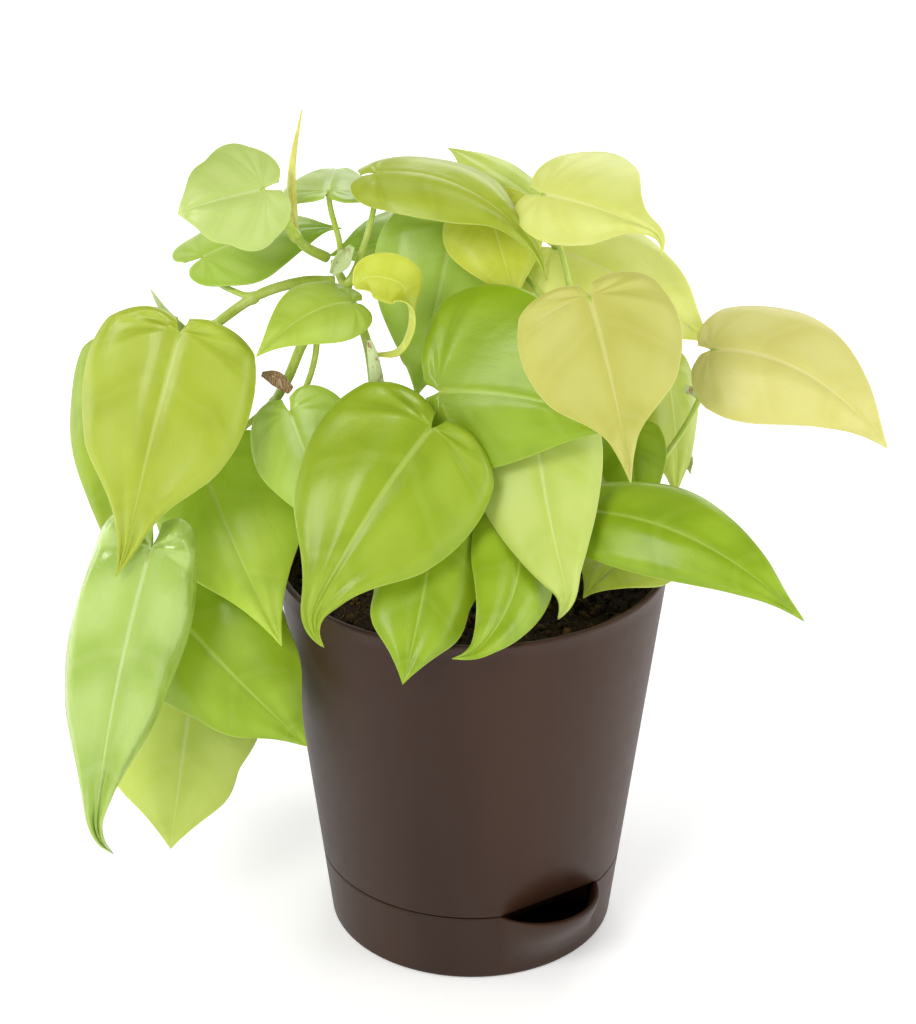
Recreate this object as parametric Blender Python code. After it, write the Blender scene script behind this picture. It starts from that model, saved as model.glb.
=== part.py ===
"""Lime heartleaf philodendron in a two-part self-watering pot.

Every leaf with its stalk, every vine and each moulded pot part is one named closed solid.
Metres, +Z up.  The origin is the middle of the flat underside of the pot, and -Y is the front.
The plant is laid out in millimetres on a pot of 60 mm rim radius, with heights counted from
the soil, and it scales with the rim and rises with the pot.
"""

from dataclasses import dataclass
from math import cos, pi, radians, sin, sqrt

import bmesh
import bpy
import numpy as np
from mathutils import Vector

MM = 0.001

# Driving dimensions of the pot
RIM_RADIUS = 0.0600
BASE_RADIUS = 0.0449
POT_HEIGHT = 0.1256
SEAM_HEIGHT = 0.0241
WALL = 0.0020
GAP = 0.0003

# Filling mouth: the upper wall is cut back to a flat and the lower wall swells into a lip
MOUTH_DIRECTION = radians(33.0)
MOUTH_HALF_ANGLE = radians(22.6)
MOUTH_TOP = SEAM_HEIGHT + 0.0124
LIP_RADIUS = 0.0195
LIP_START = 0.0030

# Inner parts of the two mouldings
FLOOR_TOP = SEAM_HEIGHT + 0.0029
FLOOR_THICKNESS = 0.0020
COLLAR_DEPTH = 0.0074
RESERVOIR_FLOOR = 0.0027
FOOT_RADIUS = 0.0120
DRAIN_RING = 0.0270
DRAIN_RADIUS = 0.0025
DRAIN_COUNT = 8

# Planting
SOIL_LEVEL = POT_HEIGHT - 0.0096
SOIL_MOUND = 0.0012
PLANTED_DEPTH = 0.0120
PLANT_SCALE = RIM_RADIUS / 0.0600
LEAF_THICKNESS = 0.0006
VINE_RADIUS = 0.0016
STALK_RADIUS = 0.0009

MOUTH_STEPS = 8
POT_STEPS = 30
BLADE_ROWS = 8
BLADE_COLUMNS = 2
STALK_SIDES = 5
STALK_POINTS = 6
VINE_SIDES = 6

LIME = (0.30, 0.47, 0.04)
YOUNG_LIME = (0.56, 0.60, 0.10)
STEM_GREEN = (0.27, 0.42, 0.07)
DRY_BROWN = (0.28, 0.15, 0.05)
POT_BROWN = (0.052, 0.036, 0.030)
SOIL_BROWN = (0.020, 0.013, 0.008)

# Half outline of a leaf: share of the length from the notch to the tip, share of the width
HALF_OUTLINE = (
    (-0.125, 0.035),
    (-0.165, 0.160),
    (-0.120, 0.310),
    (0.000, 0.430),
    (0.160, 0.495),
    (0.340, 0.480),
    (0.520, 0.385),
    (0.690, 0.245),
    (0.830, 0.115),
    (0.930, 0.040),
    (1.000, 0.000),
)


@dataclass(frozen=True)
class Leaf:
    """One leaf: notch and tip in plant millimetres, bends in degrees, widths as shares of its length."""

    name: str
    base: tuple
    tip: tuple
    facing: tuple
    stem: tuple
    width: float = 0.75
    droop: float = 25.0
    cup: float = 30.0
    curl: float = 0.0
    sweep: float = 0.0
    lobe: float = 0.6
    drip: float = 0.0
    skew: float = 0.0
    young: bool = False


# Where a stalk leaves: the vine's name, then the share of the vine's length
LEAVES = (
    Leaf("leaf_left_front", (-83, -28, 93), (-100, -52, 28), (-5, 20), ("vine_left_trailing", 0.50),
         width=0.72, droop=30, lobe=0.45, drip=0.35),
    Leaf("leaf_left_behind", (-96, -12, 80), (-103, -36, 20), (-15, 20), ("vine_left_trailing", 0.74),
         width=0.74, droop=20, lobe=0.5),
    Leaf("leaf_left_long", (-92, -46, 34), (-113, -60, -61), (10, 15), ("vine_left_trailing", 0.97),
         width=0.38, droop=10, cup=45, curl=25, sweep=12, drip=0.3),
    Leaf("leaf_left_low", (-93, -22, 5), (-49, -44, -33), (-10, 25), ("vine_left_inner", 0.88),
         width=0.84, lobe=0.5, drip=-0.3, skew=0.08),
    Leaf("leaf_left_lowest", (-85, -10, -24), (-93, -32, -77), (0, 10), ("vine_left_inner", 0.99),
         width=0.92, lobe=0.5, drip=-0.5, skew=-0.12),
    Leaf("leaf_left_shaded", (-81, -11, 45), (-56, -39, -2), (0, 15), ("vine_left_inner", 0.55),
         width=0.78, lobe=0.5, drip=0.2, skew=0.12),
    Leaf("leaf_inner_left", (-53, -22, 66), (-37, -40, 32), (-10, 20), ("vine_left_inner", 0.22),
         width=0.80, lobe=0.8),
    Leaf("leaf_front_centre", (-12, -38, 68), (-49, -64, 14), (0, 30), ("vine_centre", 0.45),
         width=0.78, curl=20, sweep=14, lobe=0.5, drip=0.3),
    Leaf("leaf_front_right_round", (-10, -26, 74), (43, -40, 68), (0, 25), ("vine_centre", 0.55),
         width=0.98, cup=20, sweep=-28, skew=0.2),
    Leaf("leaf_front_yellow", (31, -46, 111), (43, -62, 62), (0, 30), ("vine_right", 0.94),
         width=0.88, curl=10, sweep=-6, lobe=0.5, drip=0.55, young=True),
    Leaf("leaf_top_yellow", (4, 8, 118), (12, -6, 93), (5, 30), ("vine_right", 0.93),
         width=1.05, lobe=1.0, young=True),
    Leaf("leaf_crown", (-28, 5, 129), (21, -14, 107), (0, 72), ("vine_centre", 0.90),
         width=0.52, droop=60, sweep=-40, lobe=0.7, drip=0.4),
    Leaf("leaf_crown_back", (18, 16, 117), (-8, 32, 128), (0, 75), ("vine_back", 0.98),
         width=0.60, lobe=1.0, drip=-0.4),
    Leaf("leaf_top_right", (19, -5, 126), (55, -24, 119), (0, 48), ("vine_right", 0.97),
         width=0.95, sweep=-14, droop=35, lobe=0.6, drip=0.3, skew=0.25, young=True),
    Leaf("leaf_right_back", (23, 12, 104), (69, -4, 80), (10, 45), ("vine_right", 0.90),
         width=0.80, sweep=-15, lobe=1.0, drip=-0.2, young=True),
    Leaf("leaf_right_reaching", (68, -16, 83), (118, -34, 60), (10, 36), ("vine_right", 0.45),
         width=0.66, droop=60, sweep=-48, lobe=0.5, young=True),
    Leaf("leaf_right_low", (35, -32, 39), (94, -58, 17), (10, 40), ("vine_right_low", 0.90),
         width=0.44, droop=50, sweep=-30, lobe=0.5),
    Leaf("leaf_front_pale", (17, -22, 71), (29, -50, 14), (0, 20), ("vine_right", 0.55),
         width=0.62, curl=25, sweep=14, lobe=1.0, skew=-0.08, young=True),
    Leaf("leaf_front_low", (-10, -34, 42), (-20, -70, 3), (0, 25), ("vine_centre", 0.25),
         width=0.68, sweep=-6, lobe=1.0, drip=-0.6),
    Leaf("leaf_front_folded", (12, -34, 37), (-4, -70, 9), (15, 20), ("vine_right_low", 0.45),
         width=0.56, curl=20, sweep=-60),
    Leaf("leaf_right_side", (58, 11, 65), (61, -1, 29), (40, 10), ("vine_right", 0.80),
         width=0.80, lobe=1.0),
    Leaf("leaf_rim_right", (52, -8, 18), (32, -38, 14), (-20, 50), ("vine_right_low", 0.60),
         width=0.85, lobe=0.8),
    Leaf("leaf_top_left_round", (-59, -16, 131), (-83, -20, 125), (-15, 28), ("shoot_top_left", 0.70),
         width=1.25, droop=25, cup=25, curl=40, lobe=1.5, drip=-0.4),
    Leaf("leaf_top_left_flat", (-79, 6, 103), (-39, 20, 107), (0, 78), ("vine_left_trailing", 0.33),
         width=0.85, cup=20, sweep=-20, lobe=1.0),
    Leaf("leaf_top_left_back", (-42, 6, 123), (-41, 42, 118), (0, 85), ("vine_centre", 0.97),
         width=0.80, lobe=1.0),
    Leaf("leaf_back_upper", (-9, 36, 99), (-43, 18, 99), (0, 50), ("vine_back", 0.78),
         width=0.75, lobe=1.0),
    Leaf("leaf_centre_back", (-6, 14, 110), (-17, -2, 62), (0, 15), ("vine_back", 0.80),
         width=0.85, lobe=1.0),
    Leaf("leaf_inner_top_left", (-35, -15, 97), (-61, -37, 89), (0, 40), ("vine_centre", 0.80),
         width=0.62, droop=50, sweep=30, lobe=1.0),
    Leaf("leaf_right_shaded", (46, -5, 53), (50, -17, 26), (-10, 10), ("vine_right", 0.40),
         width=0.70, cup=15, lobe=0.5),
    Leaf("leaf_rear_1", (-4, 40, 72), (-2, 68, 24), (180, 20), ("vine_back", 0.62)),
    Leaf("leaf_rear_2", (34, 42, 78), (52, 62, 34), (150, 20), ("vine_back", 0.60),
         width=0.65),
    Leaf("leaf_rear_3", (48, 24, 56), (70, 44, 16), (125, 20), ("vine_rear_right", 0.95)),
    Leaf("leaf_rear_4", (-45, 34, 32), (-63, 52, -12), (210, 20), ("vine_rear_left", 0.85)),
    Leaf("leaf_rear_5", (-14, 52, 36), (-17, 80, -14), (185, 20), ("vine_rear_left", 0.75)),
    Leaf("leaf_rear_6", (26, 52, 30), (38, 76, -20), (160, 20), ("vine_rear_right", 0.60)),
)

# Vines: points chosen by hand in plant millimetres, heights from the soil.  A planted vine
# starts straight up out of its hole; a branch starts clear of the vine that carries it.
VINES = {
    "vine_centre": ((-24, -13, -12), (-24, -13, 3), (-24, -13, 9), (-28, -12, 43), (-30, -10, 77),
                    (-35, -5, 92), (-41, 1, 104)),
    "vine_left_trailing": ((-41.5, -0.5, 98), (-50, -4, 99), (-61, -8, 97), (-71, -10, 91), (-81, -7, 81),
                           (-90, 0, 65), (-96, 0, 46), (-99, -6, 30)),
    "vine_left_inner": ((-39, -7, 92), (-43, -8, 91), (-49, -12, 84), (-54, -11, 72), (-60, -3, 58),
                        (-69, 5, 32), (-80, 6, 8), (-85, 5, -16)),
    "vine_back": ((2, 8, -12), (2, 8, 3), (2, 8, 9), (3, 14, 50), (4, 20, 84), (8, 25, 106)),
    "vine_right": ((24, -4, -12), (24, -4, 3), (24, -4, 9), (31, -8, 45), (32, -12, 74), (26, -12, 92)),
    "vine_right_low": ((14, -16, -12), (14, -16, 3), (14, -16, 9), (20, -16, 22), (28, -14, 36)),
    "vine_rear_left": ((-16, 22, -12), (-16, 22, 3), (-16, 22, 9), (-24, 28, 28), (-34, 32, 44)),
    "vine_rear_right": ((16, 22, -12), (16, 22, 3), (16, 22, 9), (20, 28, 34), (28, 32, 62)),
    "shoot_top_left": ((-43.6, 0.2, 105.4), (-48, -3, 109), (-51, -5, 113), (-54, -8, 119)),
}


def clear_scene():
    """Remove every object, so a second run starts clean."""
    for thing in list(bpy.data.objects):
        bpy.data.objects.remove(thing, do_unlink=True)


def material(name, colour, roughness):
    """Give the Principled material of that name."""
    finish = bpy.data.materials.get(name) or bpy.data.materials.new(name)
    finish.use_nodes = True
    shader = finish.node_tree.nodes["Principled BSDF"]
    shader.inputs["Base Color"].default_value = (*colour, 1.0)
    shader.inputs["Roughness"].default_value = roughness
    shader.inputs["Metallic"].default_value = 0.0
    return finish


def add_object(name, vertices, faces, finish=None):
    """Link a mesh object with its normals pointing out."""
    mesh = bpy.data.meshes.new(name)
    mesh.from_pydata([tuple(point) for point in vertices], [], faces)
    shape = bmesh.new()
    shape.from_mesh(mesh)
    bmesh.ops.recalc_face_normals(shape, faces=shape.faces)
    shape.to_mesh(mesh)
    shape.free()
    mesh.shade_smooth()
    body = bpy.data.objects.new(name, mesh)
    if finish:
        mesh.materials.append(finish)
    bpy.context.scene.collection.objects.link(body)
    return body


def bake_modifiers(body):
    """Turn the modifiers of an object into its mesh."""
    graph = bpy.context.evaluated_depsgraph_get()
    mesh = bpy.data.meshes.new_from_object(body.evaluated_get(graph))
    body.modifiers.clear()
    body.data = mesh


def combine(body, tool, operation):
    """Join a tool to a body, or cut it out of it, with the exact solver."""
    boolean = body.modifiers.new("combine", "BOOLEAN")
    boolean.operation = operation
    boolean.solver = "EXACT"
    boolean.object = tool
    bake_modifiers(body)
    bpy.data.objects.remove(tool, do_unlink=True)


def unit(vector):
    """Scale a vector to length one."""
    return vector / np.linalg.norm(vector)


def smoothstep(low, high, value):
    """Ease from 0 at low to 1 at high."""
    share = np.clip((value - low) / (high - low), 0.0, 1.0)
    return share * share * (3.0 - 2.0 * share)


def spline(points, count):
    """Sample a Catmull-Rom curve that passes through the points."""
    knots = np.array(points, float)
    knots = np.vstack([2 * knots[0] - knots[1], knots, 2 * knots[-1] - knots[-2]])
    spans = len(knots) - 3
    samples = []
    for place in np.linspace(0.0, spans, count):
        start = min(int(place), spans - 1)
        t = place - start
        a, b, c, d = knots[start : start + 4]
        curve = 2 * b + (c - a) * t + (2 * a - 5 * b + 4 * c - d) * t * t + (3 * b - a - 3 * c + d) * t**3
        samples.append(0.5 * curve)
    return np.array(samples)


def in_plant(point):
    """Turn plant millimetres into metres of the part's frame."""
    return np.array(point, float) * MM * PLANT_SCALE + np.array((0.0, 0.0, SOIL_LEVEL))


def tube(path, radii, sides):
    """Return the vertices and faces of a closed tube along a path."""
    along = np.gradient(path, axis=0)
    along /= np.linalg.norm(along, axis=1)[:, None]
    side = unit(np.cross(along[0], (0.31, 0.95, 0.12)))
    vertices = []
    for point, direction, radius in zip(path, along, radii):
        side = unit(side - np.dot(side, direction) * direction)
        other = np.cross(direction, side)
        for step in range(sides):
            turn = 2 * pi * step / sides
            vertices.append(point + radius * (cos(turn) * side + sin(turn) * other))
    faces = [tuple(range(sides))[::-1]]
    for ring in range(len(path) - 1):
        for step in range(sides):
            here = ring * sides + step
            there = ring * sides + (step + 1) % sides
            faces.append((here, there, there + sides, here + sides))
    last = (len(path) - 1) * sides
    faces.append(tuple(range(last, last + sides)))
    return vertices, faces


# Leaves


def blade_rows(leaf):
    """Return, row by row, the edge (x, y) and where its vein leaves the midrib, in leaf lengths."""
    outline = spline(HALF_OUTLINE, BLADE_ROWS + 1)
    x = np.where(outline[:, 0] < 0, outline[:, 0] * leaf.lobe, outline[:, 0])
    y = outline[:, 1] * (1 - leaf.drip * smoothstep(0.50, 0.78, outline[:, 0])) * leaf.width
    vein = np.maximum.accumulate(np.clip(x - 0.75 * y, 0.0, None))
    vein[-1] = 1.0
    return x, y, vein


class BentLeaf:
    """The midrib of a leaf as a curve in space, and the bent blade around it."""

    def __init__(self, leaf):
        self.leaf = leaf
        self.base = in_plant(leaf.base)
        self.share = np.linspace(0.0, 1.0, 200)
        tip_part = smoothstep(0.72, 1.0, self.share)
        self.pitch = -radians(leaf.droop) * self.share - radians(leaf.curl) * tip_part
        self.yaw = radians(leaf.sweep) * self.share
        steps = np.stack(self.heading(self.pitch, self.yaw), -1) / len(self.share)
        self.curve = np.vstack([np.zeros(3), np.cumsum(steps, 0)[:-1]])
        self.orient()

    @staticmethod
    def heading(pitch, yaw):
        """Return the x, y and z of the midrib's direction."""
        return np.cos(pitch) * np.cos(yaw), np.sin(yaw) * np.cos(pitch), np.sin(pitch)

    def orient(self):
        """Turn and scale the midrib so that it runs from the notch to the tip."""
        chord = in_plant(self.leaf.tip) - self.base
        azimuth, elevation = map(radians, self.leaf.facing)
        faced = np.array((sin(azimuth) * cos(elevation), -cos(azimuth) * cos(elevation), sin(elevation)))
        forward = unit(chord)
        upper = unit(faced - np.dot(faced, forward) * forward)
        world = np.stack([forward, np.cross(upper, forward), upper], 1)
        end = self.curve[-1]
        local_forward = unit(end)
        local_upper = unit(np.array((0, 0, 1.0)) - local_forward[2] * local_forward)
        local = np.stack([local_forward, np.cross(local_upper, local_forward), local_upper], 0)
        self.turn = world @ local
        self.length = np.linalg.norm(chord) / np.linalg.norm(end)

    def point(self, x, y):
        """Place a point of the flat blade, given in leaf lengths, in space."""
        on_rib = min(max(x, 0.0), 1.0)
        centre = np.array([np.interp(on_rib, self.share, self.curve[:, axis]) for axis in range(3)])
        pitch = np.interp(on_rib, self.share, self.pitch)
        yaw = np.interp(on_rib, self.share, self.yaw)
        forward = np.array(self.heading(pitch, yaw))
        across = np.array((-sin(yaw), cos(yaw), 0.0))
        upper = np.cross(forward, across)
        bend = radians(self.leaf.cup) / (self.leaf.width / 2)
        centre = centre + forward * (x - on_rib) + across * sin(bend * y) / bend
        centre = centre - upper * (1 - cos(bend * y)) / bend
        return self.base + self.length * (self.turn @ centre)

    def directions(self):
        """Return the midrib's direction and the upper side's normal at the notch."""
        forward = unit(self.point(0.02, 0.0) - self.point(0.0, 0.0))
        across = unit(self.point(0.0, 0.01) - self.point(0.0, -0.01))
        return forward, np.cross(forward, across)


def blade_mesh(leaf, bent):
    """Return the vertices and faces of the open sheet through the middle of a blade."""
    x, y, vein = blade_rows(leaf)
    index = {}
    vertices = []

    def vertex(side, row, column):
        """Find or make the vertex of a grid place; the midrib and the tip are shared."""
        place = (side, row, column)
        if row == BLADE_ROWS:
            place = "tip"
        elif column == 0:
            place = vein[row] if vein[row] > 0 else "notch"
        if place not in index:
            t = column / BLADE_COLUMNS
            flat_x = vein[row] + (x[row] - vein[row]) * (0.6 * t * (1 - t) + t * t)
            flat_y = y[row] * (1.24 * t * (1 - t) + t * t)
            index[place] = len(vertices)
            vertices.append(bent.point(flat_x, side * flat_y * (1 + side * leaf.skew)))
        return index[place]

    faces = []
    for side in (1, -1):
        for row in range(BLADE_ROWS):
            for column in range(BLADE_COLUMNS):
                corners = [vertex(side, row, column), vertex(side, row, column + 1),
                           vertex(side, row + 1, column + 1), vertex(side, row + 1, column)]
                corners = [c for place, c in enumerate(corners) if c != corners[place - 1]]
                faces.append(tuple(corners) if side < 0 else tuple(corners[::-1]))
    return vertices, faces


def stalk_path(leaf, bent, vine_path):
    """Lead a stalk from just off its vine to just inside the blade, coming from below."""
    name, share = leaf.stem
    place = share * (len(vine_path) - 1)
    start = np.array([np.interp(place, range(len(vine_path)), vine_path[:, axis]) for axis in range(3)])
    step = min(int(place), len(vine_path) - 2)
    vine_way = unit(vine_path[step + 1] - vine_path[step])
    end = bent.point(0.04, 0.0)
    forward, upper = bent.directions()
    out = end - start
    out = unit(out - 0.9 * np.dot(out, vine_way) * vine_way)
    start = start + out * (VINE_RADIUS + STALK_RADIUS + GAP)
    reach = np.linalg.norm(end - start)
    arrive = unit(0.35 * forward + 0.9 * upper)
    before = end - arrive * 0.38 * reach
    after = start + unit(out + 0.6 * vine_way) * 0.38 * reach
    path = []
    for t in np.linspace(0.0, 1.0, STALK_POINTS):
        ends = (1 - t) ** 3 * start + t**3 * end
        path.append(ends + 3 * t * (1 - t) * ((1 - t) * after + t * before))
    return np.array(path)


def build_leaf(leaf, vine_path):
    """Make one leaf: a thin bent blade with its stalk joined on."""
    bent = BentLeaf(leaf)
    finish = material("leaf_young" if leaf.young else "leaf_lime", YOUNG_LIME if leaf.young else LIME, 0.35)
    body = add_object(leaf.name, *blade_mesh(leaf, bent), finish)
    thickness = body.modifiers.new("thickness", "SOLIDIFY")
    thickness.thickness = LEAF_THICKNESS
    thickness.offset = 0.0
    path = stalk_path(leaf, bent, vine_path)
    stalk = add_object("stalk", *tube(path, [STALK_RADIUS] * len(path), STALK_SIDES))
    combine(body, stalk, "UNION")


# Vines


def vine_path(points):
    """Sample a vine's curve about every 5 mm."""
    points = np.array(points, float)
    length = np.sum(np.linalg.norm(np.diff(points, axis=0), axis=1))
    return np.array([in_plant(point) for point in spline(points, max(8, round(length / 5.0)))])


def build_vine(name, path):
    """Make one vine, thinner towards its end."""
    radii = np.linspace(VINE_RADIUS, 0.8 * VINE_RADIUS, len(path))
    add_object(name, *tube(path, radii, VINE_SIDES), material("stem_green", STEM_GREEN, 0.45))


# Small parts of the plant: thin strips with a path, a width at each point and a way across

STRIPS = {
    "young_leaf_curled": (
        ((-30, -13, 80), (-22, -16, 82), (-18, -16, 88), (-17, -14, 95),
         (-19, -13, 101), (-24, -14, 104), (-30, -16, 105), (-34, -18, 103)),
        (1.2, 5, 8, 11, 14, 15, 12, 2),
        ((0, 1, 0), (0, 1, 0.1), (0, 1, 0.2), (0, 1, 0.5),
         (0, 0.6, 1), (0, 0.4, 1), (0, 0.4, 1), (0, 0.4, 1)),
        YOUNG_LIME,
    ),
    "sheath_centre": (
        ((-30, -19, 87), (-29, -19, 82), (-28, -19, 75), (-27, -18, 68)),
        (1.5, 3.5, 4.5, 3.0),
        ((1, 0, 0), (1, 0.1, 0), (1, 0.2, 0), (1, 0.2, 0)),
        STEM_GREEN,
    ),
    "sheath_node": (
        ((-41, -6, 102), (-38, -6, 106), (-35, -4, 110)),
        (2.0, 6.0, 2.0),
        ((0.8, 0, -0.6), (0.8, 0, -0.6), (0.8, 0, -0.6)),
        STEM_GREEN,
    ),
    "sheath_dry": (
        ((-61, -18, 76), (-57, -19, 75), (-53, -18, 71)),
        (1.5, 5.0, 3.0),
        ((0, 0.3, 1), (0, 0.3, 1), (0.2, 0.3, 1)),
        DRY_BROWN,
    ),
    "scale_leaf_left": (
        ((-82, -19, 89), (-88, -18, 95), (-92, -16, 101)),
        (3.0, 2.4, 0.4),
        ((1, 0, 0.6), (1, 0, 0.6), (1, 0, 0.6)),
        STEM_GREEN,
    ),
    "scale_leaf_right": (
        ((62, -4, 66), (65, -5, 65), (69, -6, 61)),
        (3.0, 2.4, 0.4),
        ((0.2, 0, 1), (0.3, 0, 1), (0.4, 0, 1)),
        STEM_GREEN,
    ),
}

# The rolled new leaf standing at the top: path in plant millimetres and radii
NEW_LEAF_PATH = ((-50.6, -2.0, 115.0), (-52, 0, 120), (-52, 2, 132), (-49, 4, 148))
NEW_LEAF_RADII = (0.8, 1.5, 1.2, 0.2)


def build_strip(name, path, widths, across, colour):
    """Make a thin strip that follows a path and may twist."""
    count = 3 * len(path) - 2
    centres = np.array([in_plant(point) for point in spline(path, count)])
    halves = spline([(width,) for width in widths], count)[:, 0] * MM * PLANT_SCALE / 2
    sideways = spline(across, count)
    along = np.gradient(centres, axis=0)
    vertices = []
    for centre, half, side, way in zip(centres, np.clip(halves, 0.1 * MM, None), sideways, along):
        way = unit(way)
        side = unit(side - np.dot(side, way) * way)
        lift = np.cross(way, side) * LEAF_THICKNESS / 2
        for turn_side, turn_lift in ((1, 1), (-1, 1), (-1, -1), (1, -1)):
            vertices.append(centre + turn_side * half * side + turn_lift * lift)
    faces = [(3, 2, 1, 0)]
    for ring in range(count - 1):
        for corner in range(4):
            here = 4 * ring + corner
            there = 4 * ring + (corner + 1) % 4
            faces.append((here, there, there + 4, here + 4))
    last = 4 * (count - 1)
    faces.append((last, last + 1, last + 2, last + 3))
    add_object(name, vertices, faces, material(name, colour, 0.45))


def build_new_leaf():
    """Make the rolled leaf that stands up from the top shoot."""
    count = 13
    path = np.array([in_plant(point) for point in spline(NEW_LEAF_PATH, count)])
    radii = spline([(radius,) for radius in NEW_LEAF_RADII], count)[:, 0] * MM
    add_object("new_leaf_rolled", *tube(path, np.clip(radii, 0.15 * MM, None), VINE_SIDES),
               material("leaf_young", YOUNG_LIME, 0.35))


# Pot


def cone(height):
    """Give the outer radius of the plain tapered wall."""
    return BASE_RADIUS + (RIM_RADIUS - BASE_RADIUS) * height / POT_HEIGHT


def upper_wall(turn, height):
    """Give the outer radius of the upper moulding, cut back to a leaning flat above the mouth."""
    flat = cone(SEAM_HEIGHT) * cos(MOUTH_HALF_ANGLE)
    share = (height - SEAM_HEIGHT) / (MOUTH_TOP - SEAM_HEIGHT)
    distance = flat + (cone(MOUTH_TOP) - flat) * share
    if cos(turn) < 0.5:
        return cone(height)
    return min(cone(height), distance / cos(turn))


def lower_wall(turn, height):
    """Give the outer radius of the reservoir, swelling into the lip of the filling mouth."""
    seam = cone(SEAM_HEIGHT)
    if abs(turn) >= MOUTH_HALF_ANGLE:
        return cone(height)
    centre = seam * cos(MOUTH_HALF_ANGLE) - sqrt(LIP_RADIUS**2 - (seam * sin(MOUTH_HALF_ANGLE)) ** 2)
    lip = centre * cos(turn) + sqrt(LIP_RADIUS**2 - (centre * sin(turn)) ** 2)
    return cone(height) + max(0.0, lip - seam) * float(smoothstep(LIP_START, SEAM_HEIGHT, height))


def collar_wall(turn, height):
    """Give the outer radius of the collar that drops into the reservoir."""
    return min(upper_wall(turn, SEAM_HEIGHT) - 0.8 * MM, cone(height) - WALL - 2 * GAP)


def inner_wall(turn, height):
    """Give the inner radius of the upper moulding."""
    return upper_wall(turn, height) - WALL


def turns_around():
    """List the directions of the wall's corners, from the middle of the mouth, finer across it."""
    mouth = np.linspace(-MOUTH_HALF_ANGLE, MOUTH_HALF_ANGLE, MOUTH_STEPS + 1)
    rest = np.linspace(MOUTH_HALF_ANGLE, 2 * pi - MOUTH_HALF_ANGLE, POT_STEPS + 1)
    return np.concatenate([mouth, rest[1:-1]])


def turned(name, profile, finish):
    """Make a solid from rings; the profile starts and ends on the axis.

    A ring is (radius, height) or (wall function, height, inset).
    """
    turns = turns_around()
    count = len(turns)
    vertices = [(0.0, 0.0, profile[0][1])]
    for ring in profile[1:-1]:
        for turn in turns:
            radius = ring[0](turn, ring[1]) - ring[2] if callable(ring[0]) else ring[0]
            angle = MOUTH_DIRECTION + turn
            vertices.append((radius * sin(angle), -radius * cos(angle), ring[1]))
    vertices.append((0.0, 0.0, profile[-1][1]))
    top = len(vertices) - 1
    faces = []
    for step in range(count):
        there = (step + 1) % count
        faces.append((0, 1 + step, 1 + there))
        faces.append((top, top - count + there, top - count + step))
        for ring in range(len(profile) - 3):
            row = 1 + ring * count
            faces.append((row + step, row + there, row + count + there, row + count + step))
    return add_object(name, vertices, faces, finish)


def round_cutter(centre, radius, low, high, sides=16):
    """Make an upright cylinder to cut with."""
    shape = bmesh.new()
    bmesh.ops.create_cone(
        shape, cap_ends=True, segments=sides, radius1=radius, radius2=radius, depth=high - low
    )
    bmesh.ops.translate(shape, verts=shape.verts, vec=Vector((centre[0], centre[1], (low + high) / 2)))
    mesh = bpy.data.meshes.new("cutter")
    shape.to_mesh(mesh)
    shape.free()
    cutter = bpy.data.objects.new("cutter", mesh)
    bpy.context.scene.collection.objects.link(cutter)
    return cutter


def box_cutter(size, centre):
    """Make a box to cut with."""
    shape = bmesh.new()
    bmesh.ops.create_cube(shape, size=1.0)
    bmesh.ops.scale(shape, verts=shape.verts, vec=Vector(size))
    bmesh.ops.translate(shape, verts=shape.verts, vec=Vector(centre))
    mesh = bpy.data.meshes.new("cutter")
    shape.to_mesh(mesh)
    shape.free()
    cutter = bpy.data.objects.new("cutter", mesh)
    bpy.context.scene.collection.objects.link(cutter)
    return cutter


def build_pot(finish):
    """Make the upper moulding: wall, floor, collar and the wicking foot with its slots."""
    foot_bottom = RESERVOIR_FLOOR + GAP
    floor_under = FLOOR_TOP - FLOOR_THICKNESS
    collar_low = SEAM_HEIGHT - COLLAR_DEPTH
    seat = SEAM_HEIGHT + GAP
    collar_inset = 1.6 * MM
    middle = (MOUTH_TOP + seat) / 2
    rim_lip = 0.6 * MM
    profile = [
        (0.0, foot_bottom),
        (FOOT_RADIUS, foot_bottom),
        (FOOT_RADIUS, floor_under),
        (collar_wall, floor_under, collar_inset),
        (collar_wall, collar_low, collar_inset),
        (collar_wall, collar_low, 0.0),
        (collar_wall, seat, 0.0),
        (upper_wall, seat, 0.0),
        (upper_wall, middle, 0.0),
        (upper_wall, MOUTH_TOP, 0.0),
        (upper_wall, POT_HEIGHT - rim_lip, 0.0),
        (upper_wall, POT_HEIGHT, rim_lip),
        (upper_wall, POT_HEIGHT, WALL - rim_lip),
        (inner_wall, POT_HEIGHT - rim_lip, 0.0),
        (inner_wall, MOUTH_TOP, 0.0),
        (inner_wall, middle, 0.0),
        (inner_wall, FLOOR_TOP, 0.0),
        (FOOT_RADIUS - WALL, FLOOR_TOP),
        (FOOT_RADIUS - WALL, foot_bottom + WALL),
        (0.0, foot_bottom + WALL),
    ]
    pot = turned("pot_upper", profile, finish)
    for index in range(DRAIN_COUNT):
        angle = 2 * pi * index / DRAIN_COUNT
        centre = (DRAIN_RING * cos(angle), DRAIN_RING * sin(angle))
        hole = round_cutter(centre, DRAIN_RADIUS, floor_under - WALL, FLOOR_TOP + WALL, 12)
        combine(pot, hole, "DIFFERENCE")
    slot_height = 0.35 * (floor_under - foot_bottom)
    slot_centre = foot_bottom + WALL + slot_height / 2
    reach = 2.4 * FOOT_RADIUS
    width = 0.5 * FOOT_RADIUS
    combine(pot, box_cutter((reach, width, slot_height), (0, 0, slot_centre)), "DIFFERENCE")
    combine(pot, box_cutter((width, reach, slot_height), (0, 0, slot_centre)), "DIFFERENCE")


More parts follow.
